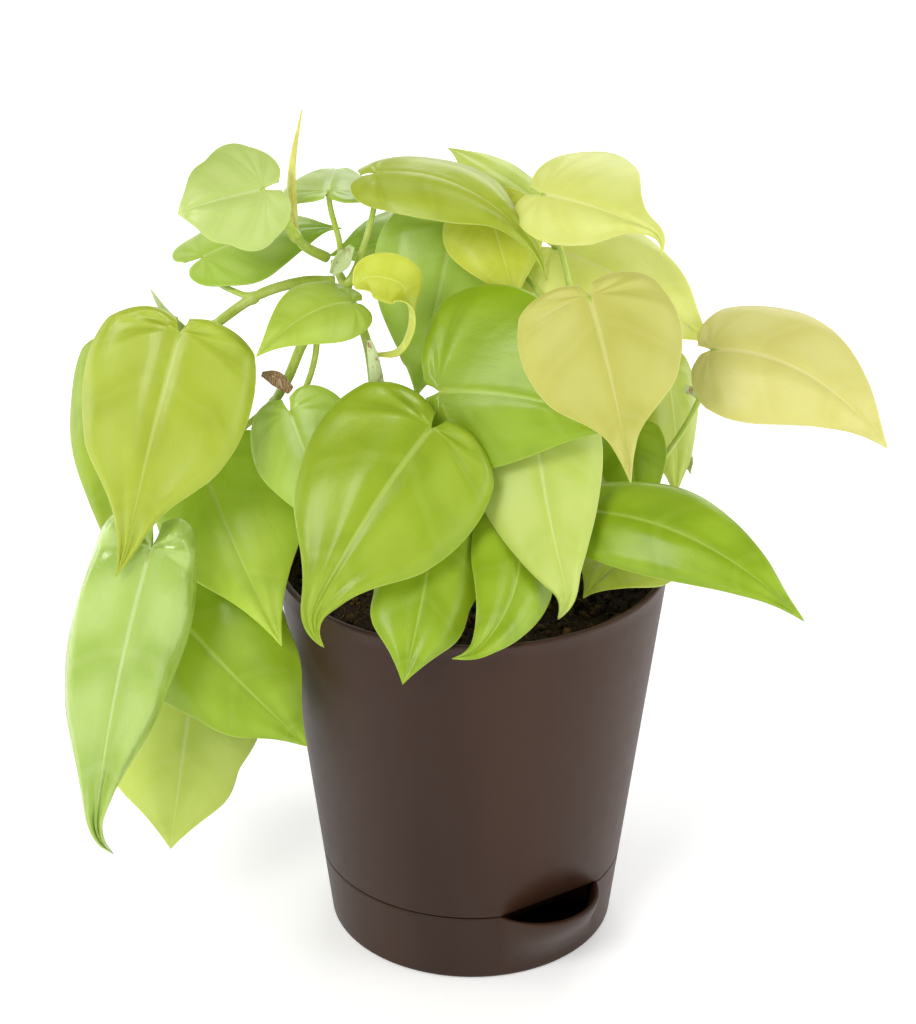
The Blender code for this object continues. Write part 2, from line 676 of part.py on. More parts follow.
def build_reservoir(finish):
    """Make the lower moulding: a shallow cup with the lip of the filling mouth."""
    edge = 1.2 * MM
    heights = np.linspace(3 * edge, SEAM_HEIGHT - 0.4 * MM, 6)
    profile = [
        (0.0, 0.0), (lower_wall, 0.0, edge), (lower_wall, 0.3 * edge, 0.3 * edge), (lower_wall, edge, 0.0)
    ]
    profile += [(lower_wall, height, 0.0) for height in heights]
    profile += [(lower_wall, SEAM_HEIGHT, 0.4 * MM), (lower_wall, SEAM_HEIGHT, WALL - 0.4 * MM)]
    profile += [(lower_wall, height, WALL) for height in heights[::-1]]
    profile += [(lower_wall, RESERVOIR_FLOOR, 2 * WALL), (0.0, RESERVOIR_FLOOR)]
    turned("pot_reservoir", profile, finish)


def build_soil():
    """Make the potting mix that fills the pot and its foot, with a hole for every planted vine."""
    inside_foot = FOOT_RADIUS - WALL - GAP
    foot_floor = RESERVOIR_FLOOR + GAP + WALL + GAP
    floor = FLOOR_TOP + GAP
    middle = (MOUTH_TOP + SEAM_HEIGHT + GAP) / 2
    profile = [
        (0.0, foot_floor),
        (inside_foot, foot_floor),
        (inside_foot, floor),
        (inner_wall, floor, 3 * GAP),
        (inner_wall, middle, 3 * GAP),
        (inner_wall, MOUTH_TOP, 3 * GAP),
        (inner_wall, SOIL_LEVEL - SOIL_MOUND, 3 * GAP),
        (0.8 * RIM_RADIUS, SOIL_LEVEL),
        (0.4 * RIM_RADIUS, SOIL_LEVEL + 0.8 * SOIL_MOUND),
        (0.0, SOIL_LEVEL + SOIL_MOUND),
    ]
    soil = turned("potting_soil", profile, material("soil_coir", SOIL_BROWN, 0.95))
    for points in VINES.values():
        if points[0][2] == -PLANTED_DEPTH / MM:
            foot = in_plant(points[0])
            low = SOIL_LEVEL - PLANTED_DEPTH * PLANT_SCALE - GAP
            cutter = round_cutter(foot, VINE_RADIUS + GAP, low, SOIL_LEVEL + 4 * SOIL_MOUND)
            combine(soil, cutter, "DIFFERENCE")


def build():
    """Make the whole potted plant."""
    clear_scene()
    finish = material("pot_plastic_brown", POT_BROWN, 0.42)
    build_reservoir(finish)
    build_pot(finish)
    build_soil()
    paths = {name: vine_path(points) for name, points in VINES.items()}
    for name, path in paths.items():
        build_vine(name, path)
    for leaf in LEAVES:
        build_leaf(leaf, paths[leaf.stem[0]])
    for name, strip in STRIPS.items():
        build_strip(name, *strip)
    build_new_leaf()


build()
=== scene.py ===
"""Lime heartleaf philodendron in a two-part self-watering pot, dressed for display.

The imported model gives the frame: metres, +Z up, the origin in the middle of the pot's flat
underside, -Y the front.  Every blade, stalk, vine, sheath and moulding is its own piece on the
body "root".  The plant is laid out in millimetres, with heights counted from the soil.
"""

from __future__ import annotations

import logging
from dataclasses import dataclass
from enum import Enum
from functools import partial
from math import cos, pi, radians, sin, sqrt
from typing import Callable, Sequence

import bmesh
import bpy
import numpy as np
from mathutils import Matrix, Vector, noise

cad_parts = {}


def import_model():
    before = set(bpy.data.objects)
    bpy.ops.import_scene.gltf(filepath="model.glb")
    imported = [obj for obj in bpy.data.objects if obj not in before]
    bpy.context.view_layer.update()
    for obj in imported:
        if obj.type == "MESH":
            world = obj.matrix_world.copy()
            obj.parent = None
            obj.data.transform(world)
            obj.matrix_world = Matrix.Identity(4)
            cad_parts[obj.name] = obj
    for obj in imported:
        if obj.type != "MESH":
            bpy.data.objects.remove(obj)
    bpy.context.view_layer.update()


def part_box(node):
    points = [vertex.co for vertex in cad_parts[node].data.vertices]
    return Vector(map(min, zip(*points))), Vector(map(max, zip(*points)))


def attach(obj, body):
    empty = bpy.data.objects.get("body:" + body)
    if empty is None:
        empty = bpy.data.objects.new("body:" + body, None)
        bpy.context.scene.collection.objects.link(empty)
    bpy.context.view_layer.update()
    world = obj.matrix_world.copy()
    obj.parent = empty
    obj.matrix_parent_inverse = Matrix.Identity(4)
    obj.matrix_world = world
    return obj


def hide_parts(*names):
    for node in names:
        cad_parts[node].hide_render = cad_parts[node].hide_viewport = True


LOG = logging.getLogger("philodendron")
MM = 0.001
BODY = "root"

Array = np.ndarray
Point = tuple[float, float, float]


# Curves and shapes


def smoothstep(low: float, high: float, value: Array | float) -> Array:
    """Ease from 0 at low to 1 at high."""
    share = np.clip((value - low) / (high - low), 0.0, 1.0)
    return share * share * (3.0 - 2.0 * share)


def unit(vector: Array) -> Array:
    """Scale a vector to length one."""
    return vector / np.linalg.norm(vector)


def spline(points: Sequence, count: int) -> Array:
    """Sample a Catmull-Rom curve that passes through the points.

    Args:
        points: The places the curve passes through, of any dimension.
        count: How many samples to take, ends included.

    Returns:
        One row per sample.
    """
    knots = np.array(points, float)
    knots = np.vstack([2 * knots[0] - knots[1], knots, 2 * knots[-1] - knots[-2]])
    spans = len(knots) - 3
    place = np.linspace(0.0, spans, count)
    start = np.minimum(place.astype(int), spans - 1)
    t = (place - start)[:, None]
    a, b, c, d = (knots[start + step] for step in range(4))
    curve = 2 * b + (c - a) * t + (2 * a - 5 * b + 4 * c - d) * t**2 + (3 * b - a - 3 * c + d) * t**3
    return 0.5 * curve


def bezier(a: Array, b: Array, c: Array, d: Array, count: int) -> Array:
    """Sample a cubic Bezier curve."""
    t = np.linspace(0.0, 1.0, count)[:, None]
    return (1 - t) ** 3 * a + 3 * t * (1 - t) ** 2 * b + 3 * t * t * (1 - t) * c + t**3 * d


def tube(path: Array, radii: Array, sides: int, fold: float = 0.0) -> tuple[Array, list]:
    """Sweep a closed round tube along a path.

    Args:
        path: The centres of the rings.
        radii: The radius at each ring.
        sides: Corners of a ring.
        fold: Share of the radius lost once round, which leaves a rolled edge.

    Returns:
        The vertices and the faces.
    """
    along = np.gradient(path, axis=0)
    along /= np.linalg.norm(along, axis=1)[:, None]
    side = unit(np.cross(along[0], (0.31, 0.95, 0.12)))
    turns = np.linspace(0.0, 2 * pi, sides, endpoint=False)
    shape = 1.0 - fold * turns / (2 * pi)
    rings = []
    for centre, way, radius in zip(path, along, radii):
        side = unit(side - np.dot(side, way) * way)
        other = np.cross(way, side)
        circle = np.outer(np.cos(turns), side) + np.outer(np.sin(turns), other)
        rings.append(centre + radius * shape[:, None] * circle)
    count = len(path)
    faces = [tuple(range(sides))[::-1]]
    for ring in range(count - 1):
        for step in range(sides):
            here = ring * sides + step
            there = ring * sides + (step + 1) % sides
            faces.append((here, there, there + sides, here + sides))
    faces.append(tuple(range((count - 1) * sides, count * sides)))
    return np.concatenate(rings), faces


def lathe(rings: Sequence[tuple[Array, Array]], turns: Array, low: float, high: float) -> tuple[Array, list]:
    """Turn rings about the Z axis into a closed solid that starts and ends on the axis.

    Args:
        rings: For each ring its radii and heights, one value per turn.
        turns: Directions, counted from -Y towards +X.
        low: Height where the first ring closes on the axis.
        high: Height where the last ring closes on the axis.

    Returns:
        The vertices and the faces.
    """
    count = len(turns)
    rows = [np.array([(0.0, 0.0, low)])]
    for radii, heights in rings:
        rows.append(np.stack([radii * np.sin(turns), -radii * np.cos(turns), heights * np.ones(count)], -1))
    rows.append(np.array([(0.0, 0.0, high)]))
    vertices = np.concatenate(rows)
    top = len(vertices) - 1
    faces = []
    for step in range(count):
        there = (step + 1) % count
        faces.append((0, 1 + there, 1 + step))
        faces.append((top, top - count + step, top - count + there))
        for ring in range(len(rings) - 1):
            row = 1 + ring * count
            faces.append((row + step, row + there, row + count + there, row + count + step))
    return vertices, faces


def link_mesh(name: str, vertices: Array, faces: list, finish: bpy.types.Material) -> bpy.types.Object:
    """Make a smooth mesh object with its normals pointing out and link it to the scene."""
    mesh = bpy.data.meshes.new(name)
    mesh.from_pydata(np.asarray(vertices).tolist(), [], faces)
    shape = bmesh.new()
    shape.from_mesh(mesh)
    bmesh.ops.recalc_face_normals(shape, faces=shape.faces)
    shape.to_mesh(mesh)
    shape.free()
    mesh.shade_smooth()
    mesh.materials.append(finish)
    made = bpy.data.objects.new(name, mesh)
    bpy.context.scene.collection.objects.link(made)
    return made


def mount(piece: bpy.types.Object, node: str | None = None) -> bpy.types.Object:
    """Let a piece ride on the plant's one body, hide the node it stands for and log its face count."""
    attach(piece, BODY)
    if node:
        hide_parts(node)
    LOG.info("%s: %d faces", piece.name, len(piece.data.polygons))
    return piece


def mount_sheet(name: str, ending: str, vertices: Array, faces: list,
                marks: Sequence[tuple[str, str, Array]], thickness: float,
                finishes: Sequence[bpy.types.Material]) -> None:
    """Thicken a thin sheet both ways and mount it in place of the node that it is named for.

    Args:
        name: The node's name.
        ending: What the piece's own name adds to it.
        vertices: Points of the middle sheet in metres.
        faces: The faces between them.
        marks: Names, domains and values of the places that the finish reads.
        thickness: Thickness in metres.
        finishes: The upper side's finish, then the underside's.
    """
    mesh = bpy.data.meshes.new(name)
    mesh.from_pydata(vertices.tolist(), [], faces)
    mesh.shade_smooth()
    for mark, domain, values in marks:
        mesh.attributes.new(mark, "FLOAT_VECTOR", domain).data.foreach_set("vector", np.ravel(values))
    for finish in finishes:
        mesh.materials.append(finish)
    piece = bpy.data.objects.new(f"{name}_{ending}", mesh)
    bpy.context.scene.collection.objects.link(piece)
    thick = piece.modifiers.new("thickness", "SOLIDIFY")
    thick.thickness = thickness
    thick.offset = 0.0
    thick.material_offset = 1
    mount(piece, name)


# Finishes

# Settings that many nodes share: an eased ramp, a mix of two colours
EASED = {"interpolation_type": "SMOOTHSTEP"}
MIXED = {"out": 2, "data_type": "RGBA"}


def linear(code: str) -> tuple[float, float, float, float]:
    """Turn an sRGB hex colour such as "#9DB52A" into linear RGBA."""
    values = [int(code[place : place + 2], 16) / 255 for place in (1, 3, 5)]
    channels = [v / 12.92 if v <= 0.04045 else ((v + 0.055) / 1.055) ** 2.4 for v in values]
    return (*channels, 1.0)


def add_node(tree: bpy.types.NodeTree, kind: str, feeds: dict | None = None, out: int | str = 0,
             stops: Sequence[tuple[float, str]] = (), **settings: object) -> bpy.types.NodeSocket:
    """Add one shader node, set it up and link it.

    Args:
        tree: The node tree.
        kind: The node's type without its "ShaderNode" prefix.
        feeds: Input socket to a value or to the socket that feeds it.
        out: The output to return.
        stops: Places and sRGB hex colours of a colour ramp.
        settings: Properties of the node.

    Returns:
        The chosen output socket.
    """
    made = tree.nodes.new("ShaderNode" + kind)
    for name, value in settings.items():
        setattr(made, name, value)
    for place, (position, code) in enumerate(stops):
        ramp = made.color_ramp.elements
        stop = ramp[place] if place < len(ramp) else ramp.new(position)
        stop.position = position
        stop.color = linear(code)
    for key, value in (feeds or {}).items():
        socket = made.inputs[key]
        if isinstance(value, bpy.types.NodeSocket):
            tree.links.new(value, socket)
        else:
            socket.default_value = value
    return made.outputs[out]


def new_finish(name: str) -> tuple[bpy.types.Material, Callable]:
    """Make an empty node material, and give it with the add-node function of its own tree."""
    finish = bpy.data.materials.new(name)
    finish.use_nodes = True
    finish.node_tree.nodes.clear()
    return finish, partial(add_node, finish.node_tree)


def close_finish(finish: bpy.types.Material, shader: bpy.types.NodeSocket) -> bpy.types.Material:
    """Feed a shader to the material's surface and give the material."""
    output = finish.node_tree.nodes.new("ShaderNodeOutputMaterial")
    finish.node_tree.links.new(shader, output.inputs["Surface"])
    return finish


@dataclass(frozen=True)
class LeafTone:
    """Colours of one leaf: blade, paler bands of painted light, darker patches, veins with the rim, and
    underside.

    Below them stand its roughness, the share of light that passes through, the wax's gloss and how
    deeply it puckers, in cell depths.
    """

    blade: str
    light: str
    deep: str
    vein: str
    under: str
    roughness: float = 0.36
    glow: float = 0.22
    coat: float = 0.18
    crinkle: float = 9.0


class Tone(Enum):
    """The ages and exposures of the lime leaves; a lighter tone given for exposure is painted light that
    lifts a leaf standing in shade.
    """

    LIME = LeafTone("#8CA418", "#A0B638", "#76900F", "#BACB6C", "#A6B654")
    RICH = LeafTone("#89A516", "#9EBA30", "#72900C", "#B4CA60", "#A2B64C")
    OLIVE = LeafTone("#9FAE2E", "#AEBC4E", "#8E9C22", "#C0CC74", "#ACB85C")
    FRESH = LeafTone("#A3BE48", "#B8CF6C", "#8FAE30", "#C8DA88", "#B2C56E")
    GLOSSY = LeafTone("#9EBA4C", "#B8CE78", "#88A638", "#D0DEA2", "#B6C67C", 0.20, 0.20, 0.90, 42.0)
    YOUNG = LeafTone("#B4B256", "#C0C070", "#A6A646", "#CECE8A", "#BEC080", 0.44, 0.17, 0.06)
    PEACH = LeafTone("#CAC574", "#D4D08C", "#C2BA62", "#E2DEA2", "#D6D296", 0.42, 0.24, 0.08)
    PALE_YOUNG = LeafTone("#CDD26E", "#DADF8C", "#C0C85A", "#E4E8A4", "#D4DA96", 0.42, 0.24, 0.08)
    YOUNG_LIME = LeafTone("#BCC43C", "#CAD15A", "#A9B128", "#D8DE7C", "#C2CA62", 0.40, 0.32, 0.08)
    PALE = LeafTone("#B2C35A", "#C4D27C", "#9EB248", "#D2DE98", "#BECC84", 0.42, 0.22, 0.08)
    PALE_LIME = LeafTone("#B9C95A", "#BDCE6C", "#9BB038", "#CEDC90", "#BACA74", 0.42, 0.22, 0.10)
    # Lightened as painted light for a leaf in shade; its higher glow is the tissue's real translucency
    GLOWING_WITH_PAINTED_LIGHT = LeafTone("#A8C03C", "#B8CC54", "#94AE2C", "#C8D878", "#B4C464", 0.38, 0.55, 0.10)
    INNER = LeafTone("#A2B83E", "#B2C65A", "#90A82C", "#C4D47C", "#B0C062", 0.38, 0.24, 0.10)
    MILKY = LeafTone("#AEC06A", "#BECC84", "#9CB054", "#CCD89C", "#B8C682", 0.36, 0.20, 0.15)
    # A paler copy of PALE_YOUNG: painted light for a leaf in another's shade, with more real glow through the
    # tissue
    BACKLIT_WITH_PAINTED_LIGHT = LeafTone("#D4D87C", "#DEE294", "#C8CE68", "#E6EAA8", "#D8DC9C", 0.42, 0.50, 0.08)


@dataclass(frozen=True)
class LeafCuticle:
    """Waxy cuticle over living leaf tissue.

    Young and grown smooth, it gives soft satin highlights, a lit-through glow in thin tissue and
    broad pale bands that curve from the midrib to the rim between the side veins; these bands are
    painted light, standing for light caught on the swellings of the quilted blade.
    """

    tone: LeafTone
    veins: float = 6.0
    patch_mm: float = 20.0
    cell_mm: float = 0.45
    cell_depth: float = 0.03 * MM
    deep_share: float = 0.45
    painted_band_share: float = 0.40
    rib_share: float = 0.45
    line_share: float = 0.07
    rim_share: float = 0.5
    under_duller: float = 0.14

    def bands(self, add: Callable) -> tuple[bpy.types.NodeSocket, ...]:
        """Read the blade's own coordinates.

        Args:
            add: The add-node function of the finish's tree.

        Returns:
            The strength of the paler bands of painted light, the side veins' lines, the distance from
            the midrib and the flat place.
        """
        place = add("Attribute", out="Vector", attribute_name="blade")
        row = add("SeparateXYZ", {0: place}, out=0)
        side = add("SeparateXYZ", {0: place}, out=1)
        flat = add("Attribute", out="Vector", attribute_name="flat_mm")
        off_rib = add("Math", {0: side}, operation="ABSOLUTE")
        drift = add("TexNoise", {"Vector": flat, "Scale": 0.05, "Detail": 1.0})
        phase = add("Math", {0: row, 1: 2 * pi * self.veins}, operation="MULTIPLY")
        phase = add("Math", {0: drift, 1: 2.4, 2: phase}, operation="MULTIPLY_ADD")
        wave = add("Math", {0: phase}, operation="COSINE")
        swell = add("MapRange", {"Value": wave, "From Min": -1.0, "From Max": 0.7}, **EASED)
        inside = add("MapRange", {"Value": off_rib, "From Min": 0.04, "From Max": 0.35}, **EASED)
        outside = add("MapRange", {"Value": off_rib, "From Min": 0.70, "From Max": 0.98, "To Min": 1.0,
                                   "To Max": 0.0}, **EASED)
        reach = add("Math", {0: inside, 1: outside}, operation="MULTIPLY")
        strength = add("Math", {0: swell, 1: reach}, operation="MULTIPLY")
        line = add("MapRange", {"Value": wave, "From Min": -0.90, "From Max": -0.995}, **EASED)
        line = add("Math", {0: line, 1: outside}, operation="MULTIPLY")
        return strength, line, off_rib, flat

    def surface(self, finish: bpy.types.Material, colour: bpy.types.NodeSocket, flat: bpy.types.NodeSocket,
                roughness: float, coat: float) -> bpy.types.Material:
        """Close a material with the cuticle's gloss, glow and cell relief."""
        add = partial(add_node, finish.node_tree)
        cells = add("TexVoronoi", {"Vector": flat, "Scale": 1.0 / self.cell_mm}, out="Distance")
        along = add("Mapping", {"Vector": flat, "Scale": (0.5, 1.0, 1.0)})
        puckers = add("TexNoise", {"Vector": along, "Scale": 0.30, "Detail": 3.0})
        relief = add("Math", {0: puckers, 1: self.tone.crinkle, 2: cells}, operation="MULTIPLY_ADD")
        bump = add("Bump", {"Height": relief, "Distance": self.cell_depth, "Strength": 0.7}, out="Normal")
        sheen = add("MapRange", {"Value": puckers, "To Min": roughness - 0.06, "To Max": roughness + 0.08})
        shader = add("BsdfPrincipled", {
            "Base Color": colour,
            "Roughness": sheen,
            "IOR": 1.42,
            "Normal": bump,
            "Subsurface Weight": self.tone.glow,
            "Subsurface Radius": (0.8, 1.0, 0.15),
            "Subsurface Scale": 1.2 * MM,
            "Specular IOR Level": 0.38,
            "Coat Weight": coat,
            "Coat Roughness": 0.20,
        })
        return close_finish(finish, shader)

    def upper(self, name: str) -> bpy.types.Material:
        """Make the upper side's material."""
        finish, add = new_finish(name)
        strength, line, off_rib, flat = self.bands(add)
        patches = add("TexNoise", {"Vector": flat, "Scale": 1.0 / self.patch_mm, "Detail": 3.0})
        patches = add("MapRange", {"Value": patches, "From Min": 0.42, "From Max": 0.68}, **EASED)
        patches = add("Math", {0: patches, 1: self.deep_share}, operation="MULTIPLY")
        colour = add("Mix", {0: patches, 6: linear(self.tone.blade), 7: linear(self.tone.deep)}, **MIXED)
        # Painted light: paler bands where light would catch the swellings between the side veins
        strength = add("Math", {0: strength, 1: self.painted_band_share}, operation="MULTIPLY")
        colour = add("Mix", {0: strength, 6: colour, 7: linear(self.tone.light)}, **MIXED)
        rib = add("MapRange", {"Value": off_rib, "From Min": 0.040, "From Max": 0.010,
                               "To Max": self.rib_share}, **EASED)
        line = add("Math", {0: line, 1: self.line_share}, operation="MULTIPLY")
        rib = add("Math", {0: rib, 1: line}, operation="MAXIMUM")
        rim = add("MapRange", {"Value": off_rib, "From Min": 0.975, "From Max": 0.995,
                               "To Max": self.rim_share}, **EASED)
        rib = add("Math", {0: rib, 1: rim}, operation="MAXIMUM")
        colour = add("Mix", {0: rib, 6: colour, 7: linear(self.tone.vein)}, **MIXED)
        return self.surface(finish, colour, flat, self.tone.roughness, self.tone.coat)

    def under(self, name: str) -> bpy.types.Material:
        """Make the underside's material: paler and duller, with the veins standing out."""
        finish, add = new_finish(name)
        _, line, off_rib, flat = self.bands(add)
        grain = add("TexNoise", {"Vector": flat, "Scale": 1.0 / self.patch_mm, "Detail": 4.0})
        grain = add("MapRange", {"Value": grain, "From Min": 0.35, "From Max": 0.70, "To Max": 0.45})
        colour = add("Mix", {0: grain, 6: linear(self.tone.under), 7: linear(self.tone.blade)}, **MIXED)
        rib = add("MapRange", {"Value": off_rib, "From Min": 0.07, "From Max": 0.02, "To Max": 0.8},
                  **EASED)
        line = add("Math", {0: line, 1: 0.4}, operation="MULTIPLY")
        rib = add("Math", {0: rib, 1: line}, operation="MAXIMUM")
        colour = add("Mix", {0: rib, 6: colour, 7: linear(self.tone.vein)}, **MIXED)
        return self.surface(finish, colour, flat, self.tone.roughness + self.under_duller, 0.0)


@dataclass(frozen=True)
class GreenBark:
    """Smooth green skin of a young climbing stem: satin, faintly ribbed along its length."""

    skin: str = "#A9BC48"
    streak: str = "#8FA634"
    pale: str = "#C6D07C"
    streak_mm: float = 0.5
    roughness: float = 0.40
    patch_mm: float = 9.0
    spread: float = 0.7

    def dress(self, name: str) -> bpy.types.Material:
        """Make the material."""
        finish, add = new_finish(name)
        place = add("TexCoord", out="Object")
        streaks = add("Mapping", {"Vector": place, "Scale": (1.0, 1.0, 0.12)})
        streaks = add("TexNoise", {"Vector": streaks, "Scale": 1.0 / (self.streak_mm * MM), "Detail": 2.0})
        broad = add("TexNoise", {"Vector": place, "Scale": 1.0 / (self.patch_mm * MM), "Detail": 2.0})
        share = add("MapRange", {"Value": streaks, "From Min": 0.35, "From Max": 0.65,
                                 "To Max": self.spread})
        colour = add("Mix", {0: share, 6: linear(self.skin), 7: linear(self.streak)}, **MIXED)
        share = add("MapRange", {"Value": broad, "From Min": 0.45, "From Max": 0.70, "To Max": self.spread})
        colour = add("Mix", {0: share, 6: colour, 7: linear(self.pale)}, **MIXED)
        bump = add("Bump", {"Height": streaks, "Distance": 0.06 * MM, "Strength": 0.6}, out="Normal")
        shader = add("BsdfPrincipled", {
            "Base Color": colour,
            "Roughness": self.roughness,
            "IOR": 1.42,
            "Normal": bump,
            "Subsurface Weight": 0.2,
            "Subsurface Radius": (0.8, 1.0, 0.2),
            "Subsurface Scale": 1.0 * MM,
            "Coat Weight": 0.1,
            "Coat Roughness": 0.3,
        })
        return close_finish(finish, shader)


@dataclass(frozen=True)
class PaperySheath:
    """Drying sheath of an opened bud: thin, matt, with fine lengthwise fibres and browned ends."""

    fresh: str = "#B9CB8C"
    dry: str = "#8A5A22"
    dryness: float = 0.1
    fibre: str = "#E4E6C2"
    fibre_mm: float = 0.35
    spot_mm: float = 3.0

    def dress(self, name: str) -> bpy.types.Material:
        """Make the material."""
        finish, add = new_finish(name)
        place = add("TexCoord", out="Object")
        fibres = add("Mapping", {"Vector": place, "Scale": (1.0, 1.0, 0.15)})
        fibres = add("TexNoise", {"Vector": fibres, "Scale": 1.0 / (self.fibre_mm * MM), "Detail": 3.0})
        spots = add("TexNoise", {"Vector": place, "Scale": 1.0 / (self.spot_mm * MM), "Detail": 4.0})
        edge = 0.75 - 0.5 * self.dryness
        share = add("MapRange", {"Value": spots, "From Min": edge - 0.12, "From Max": edge}, **EASED)
        colour = add("Mix", {0: share, 6: linear(self.fresh), 7: linear(self.dry)}, **MIXED)
        light = add("MapRange", {"Value": fibres, "From Min": 0.4, "From Max": 0.65, "To Max": 0.35})
        colour = add("Mix", {0: light, 6: colour, 7: linear(self.fibre)}, **MIXED)
        bump = add("Bump", {"Height": fibres, "Distance": 0.08 * MM, "Strength": 0.7}, out="Normal")
        shader = add("BsdfPrincipled", {
            "Base Color": colour,
            "Roughness": 0.58,
            "Normal": bump,
            "Subsurface Weight": 0.2,
            "Subsurface Radius": (0.8, 1.0, 0.3),
            "Subsurface Scale": 0.8 * MM,
        })
        return close_finish(finish, shader)


@dataclass(frozen=True)
class MouldedPolypropylene:
    """Injection-moulded polypropylene from a finely spark-eroded tool.

    The mould's grain gives a soft satin sheen that lifts towards the outline, and slow cooling
    leaves faint upright flow bands.  The grain is drawn at 0.35 mm, coarser than the real
    0.05 mm, so that it shows.
    """

    body: str = "#2E1A10"
    warm: str = "#392316"
    grain_mm: float = 0.35
    dust_mm: float = 6.0
    flow_mm: float = 38.0
    roughness: float = 0.46

    def dress(self, name: str) -> bpy.types.Material:
        """Make the material."""
        finish, add = new_finish(name)
        place = add("TexCoord", out="Object")
        flow = add("Mapping", {"Vector": place, "Scale": (1.0, 1.0, 0.15)})
        flow = add("TexNoise", {"Vector": flow, "Scale": 1.0 / (self.flow_mm * MM), "Detail": 2.0})
        share = add("MapRange", {"Value": flow, "From Min": 0.35, "From Max": 0.65})
        colour = add("Mix", {0: share, 6: linear(self.body), 7: linear(self.warm)}, **MIXED)
        grain = add("TexNoise", {"Vector": place, "Scale": 1.0 / (self.grain_mm * MM), "Detail": 2.0})
        dust = add("TexNoise", {"Vector": place, "Scale": 1.0 / (self.dust_mm * MM), "Detail": 5.0})
        gloss = add("MapRange", {"Value": dust, "To Min": self.roughness - 0.05,
                                 "To Max": self.roughness + 0.07})
        bump = add("Bump", {"Height": grain, "Distance": 0.02 * MM, "Strength": 0.5}, out="Normal")
        shader = add("BsdfPrincipled", {
            "Base Color": colour,
            "Roughness": gloss,
            "IOR": 1.49,
            "Specular IOR Level": 0.27,
            "Normal": bump,
        })
        return close_finish(finish, shader)


@dataclass(frozen=True)
class CoirMix:
    """Moist potting mix of coir dust and composted bark: dark, matt and crumbly."""

    dark: str = "#160E06"
    crumb: str = "#33230F"
    chip: str = "#5C4524"
    crumb_mm: float = 1.1

    def dress(self, name: str, by_grain: bool = False) -> bpy.types.Material:
        """Make the material.

        Args:
            name: The material's name.
            by_grain: Colour each loose crumb by its own number instead of by its place.

        Returns:
            The material.
        """
        finish, add = new_finish(name)
        place = add("TexCoord", out="Object")
        crumbs = add("TexNoise", {"Vector": place, "Scale": 1.0 / (self.crumb_mm * MM), "Detail": 6.0})
        shade = add("Attribute", out="Fac", attribute_name="grain") if by_grain else crumbs
        stops = ((0.30, self.dark), (0.55, self.crumb), (0.97, self.chip)) if by_grain else (
            (0.40, self.dark), (0.62, self.crumb), (0.85, self.chip))
        colour = add("ValToRGB", {"Fac": shade}, out="Color", stops=stops)
        bump = add("Bump", {"Height": crumbs, "Distance": 0.5 * MM, "Strength": 0.9}, out="Normal")
        shader = add("BsdfPrincipled", {"Base Color": colour, "Roughness": 0.9, "Normal": bump,
                                        "Specular IOR Level": 0.25})
        return close_finish(finish, shader)


@dataclass(frozen=True)
class PaperSweep:
    """Seamless matt white studio paper with the faintest tooth. It glows as painted light: faintly near the
    pot, where the glow softens the shadows, and full white far out, where it fades into the surround.
    """

    white: str = "#FAFAFA"
    teeth_per_metre: float = 900.0
    painted_glow_near: float = 0.22
    lit_near: float = 0.25
    lit_far: float = 1.2

    def dress(self, name: str) -> bpy.types.Material:
        """Make the material."""
        finish, add = new_finish(name)
        place = add("TexCoord", out="Object")
        tooth = add("TexNoise", {"Vector": place, "Scale": self.teeth_per_metre, "Detail": 2.0})
        bump = add("Bump", {"Height": tooth, "Distance": 0.05 * MM, "Strength": 0.2}, out="Normal")
        away = add("VectorMath", {0: place}, out=1, operation="LENGTH")
        # Painted light: the paper's own glow rises from faint near the pot to full white far out
        glow = add("MapRange", {"Value": away, "From Min": self.lit_near, "From Max": self.lit_far,
                                "To Min": self.painted_glow_near, "To Max": 1.0}, **EASED)
        shader = add("BsdfPrincipled", {"Base Color": linear(self.white), "Roughness": 0.9,
                                        "Specular IOR Level": 0.1, "Normal": bump, "Emission Color": glow,
                                        "Emission Strength": 1.0})
        return close_finish(finish, shader)


# Leaves

# Rim radius of the pot that the plant's tables are written for
TABLE_RIM = 0.0600

# Half outline of a leaf: share of the length from the notch to the tip, share of the width
HALF_OUTLINE = (
    (-0.125, 0.035),
    (-0.165, 0.160),
    (-0.120, 0.310),
    (0.000, 0.430),
    (0.160, 0.495),
    (0.340, 0.480),
    (0.520, 0.385),
    (0.690, 0.245),
    (0.830, 0.115),
    (0.930, 0.040),
    (1.000, 0.000),
)

# Columns from the midrib to the rim, closer where the groove and the rolled rim are
COLUMNS = np.array((0.0, 0.018, 0.04, 0.07, 0.12, 0.19, 0.28, 0.38, 0.48, 0.58, 0.68, 0.78, 0.87, 0.94,
                    0.98, 1.0))
ROWS = 60


@dataclass(frozen=True)
class Soil:
    """Level of the soil and the plant's scale."""

    level: float
    scale: float

    def point(self, place: Sequence[float]) -> Array:
        """Turn plant millimetres, heights counted from the soil, into metres of the frame."""
        return np.array(place, float) * MM * self.scale + np.array((0.0, 0.0, self.level))


